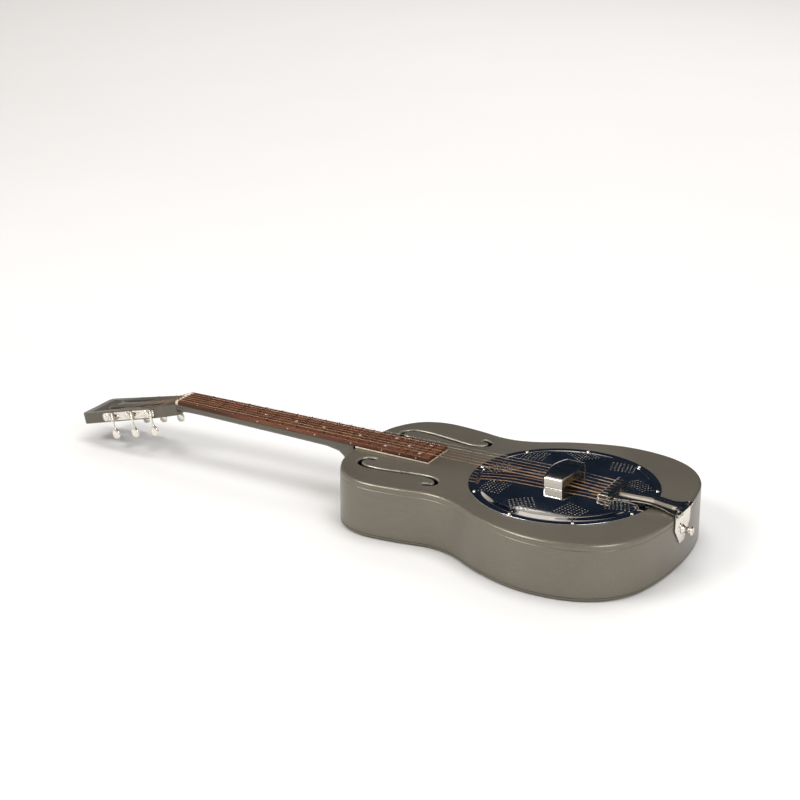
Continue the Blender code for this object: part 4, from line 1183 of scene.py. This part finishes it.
# ---- floor, cards, lights, camera
NAVY = ((0.005, 0.008, 0.014), (0.010, 0.015, 0.025))
CREAM = ((0.80, 0.75, 0.69), (0.88, 0.84, 0.79))
BACK_CARD_EDGES = (  # (x, lower edge, upper edge) in metres
    (-1.30, 0.02, 0.50), (-0.80, 0.02, 0.55), (-0.65, 0.02, 1.10), (-0.30, 0.02, 1.10),
    (-0.20, 0.02, 0.70), (-0.06, 0.02, 0.54), (-0.01, 0.02, 0.56), (0.0, 0.15, 0.56),
    (0.12, 0.15, 0.60), (0.22, 0.15, 0.51), (0.23, 0.02, 0.51), (0.24, 0.02, 0.62),
    (0.95, 0.02, 0.55))
CEILING = 1.2
CEILING_CARDS = (  # (name, tones, range of x, range of y) in metres
    ("ceiling_card_tail", NAVY, (0.36, 0.80), (-0.20, 0.72)),
    ("ceiling_card_head", NAVY, (-0.95, -0.34), (-0.20, 0.72)),
    ("ceiling_card_middle", CREAM, (-0.30, 0.22), (-0.30, 0.42)))
LIGHTS = (  # (name, place, target, size, watts, colour, is reflected)
    ("key", (-1.6, -1.8, 2.6), (0, 0, 0), (1.6, 1.2), 75.0, (1.0, 0.98, 0.95), True),
    ("fill", (2.2, -1.0, 1.8), (0.1, 0, 0), (1.4, 1.4), 35.0, (0.95, 0.98, 1.0), True),
    ("top", (0.2, 0.4, 3.0), (0.1, 0, 0), (2.4, 1.2), 60.0, (1, 1, 1), False),
    ("far_floor", (-0.8, 3.4, 2.6), (-0.8, 3.4, 0), (6.0, 3.0), 110.0, (1, 1, 1), False))
WORLD_TONES = ((0.30, (0.95, 0.93, 0.90)), (0.60, (0.42, 0.37, 0.33)))
CAMERA_PLACE = (1.72857, -2.39504, 1.12663)  # from the nut's front edge, in metres
CAMERA_TURN = (69.1096, -0.2138, 29.5621)  # about X, Y and Z, in degrees
CAMERA_LENS = 92.64  # in millimetres, on a 36 mm sensor


def leaning(x, z):
    """A point of the plane that the back card lies in, which leans away from the guitar."""
    return Vector((x, 0.36 + 0.30 * z, z))


def make_stage():
    floor = made("floor", box_mesh((30.0, 30.0, 0.02), (0, 0, -0.0101)))
    look = Look("floor", 0.0, 0.6)
    look.tones(look.noise(3.0, detail=3.0), (0.6107, 0.6107, 0.6107), (0.62, 0.62, 0.62))
    floor.data.materials.append(look.material)
    upper = [leaning(x, top) for x, _, top in BACK_CARD_EDGES]
    lower = [leaning(x, low) for x, low, _ in BACK_CARD_EDGES]
    glossy_card("back_card", NAVY, [upper, lower])
    upper = [leaning(x, CEILING) for x in (0.11, 0.80)]
    lower = [leaning(x, 0.62) for x in (0.24, 0.80)]
    glossy_card("tail_card", NAVY, [upper, lower])
    for name, tones, x_range, y_range in CEILING_CARDS:
        glossy_card(name, tones, [[Vector((x, y, CEILING)) for x in x_range] for y in y_range])
    rows = [[Vector((x, 0.62, z)) for x in (-0.16, 0.0)] for z in (0.52, 0.64)]
    glossy_card("pale_card", CREAM, rows)


def glossy_card(name, tones, rows):
    """A card that only reflections see, as a studio sets one beside polished metal."""
    card = made(name, grid(rows))
    look = Look(name, 0.0, 1.0)
    look.set(look.shader, ("Specular IOR Level", 0.0))
    look.tones(look.noise(6.0, detail=5.0, distortion=1.5), *tones)
    card.data.materials.append(look.material)
    assign(card, visible_camera=False, visible_diffuse=False, visible_shadow=False)


def make_lights():
    world = bpy.data.worlds.new("studio")
    world.use_nodes = True
    nodes, links = world.node_tree.nodes, world.node_tree.links
    direction = nodes.new("ShaderNodeTexCoord").outputs["Generated"]
    split = nodes.new("ShaderNodeSeparateXYZ")
    ramp = nodes.new("ShaderNodeValToRGB")
    for element, (position, color) in zip(ramp.color_ramp.elements, WORLD_TONES):
        assign(element, position=position, color=(*color, 1.0))
    links.new(direction, split.inputs[0])
    links.new(split.outputs["Z"], ramp.inputs["Fac"])
    links.new(ramp.outputs["Color"], nodes["Background"].inputs["Color"])
    nodes["Background"].inputs["Strength"].default_value = 0.9
    bpy.context.scene.world = world
    for name, location, target, size, power, color, reflected in LIGHTS:
        data = assign(bpy.data.lights.new(name, "AREA"), shape="RECTANGLE", size=size[0],
                      size_y=size[1], energy=power, color=color)
        aim = (Vector(target) - Vector(location)).to_track_quat("-Z", "Y").to_euler()
        assign(link(bpy.data.objects.new(name, data)), location=location, rotation_euler=aim,
               visible_glossy=reflected)


def make_camera():
    data = assign(bpy.data.cameras.new("camera"), sensor_width=36.0, lens=CAMERA_LENS,
                  clip_start=0.05, clip_end=60.0)
    turn = [math.radians(angle) for angle in CAMERA_TURN]
    bpy.context.scene.camera = assign(link(bpy.data.objects.new("camera", data)),
                                      location=place(*CAMERA_PLACE), rotation_euler=turn)
    bpy.context.scene.view_settings.view_transform = "Standard"


ROUNDED_NODES = (  # (node, radius of its edges in millimetres)
    ("neck", 0.5), ("fingerboard", 0.3), ("fingerboard_riser", 0.3), ("bridge_saddle", 0.4),
    ("tailpiece_bracket", 0.25), ("tuner_plate_bass", 0.25), ("tuner_plate_treble", 0.25))

make_camera()
make_lights()
make_stage()
make_body()
make_coverplate()
make_cover_screws()
make_palm_rest()
make_tailpiece()
make_strap_button()
make_strings()
make_frets()
make_inlays()
make_nut()
for node_name, edge in ROUNDED_NODES:
    refined(node_name, edge * MM)
make_tuners()
finish_carried_nodes()
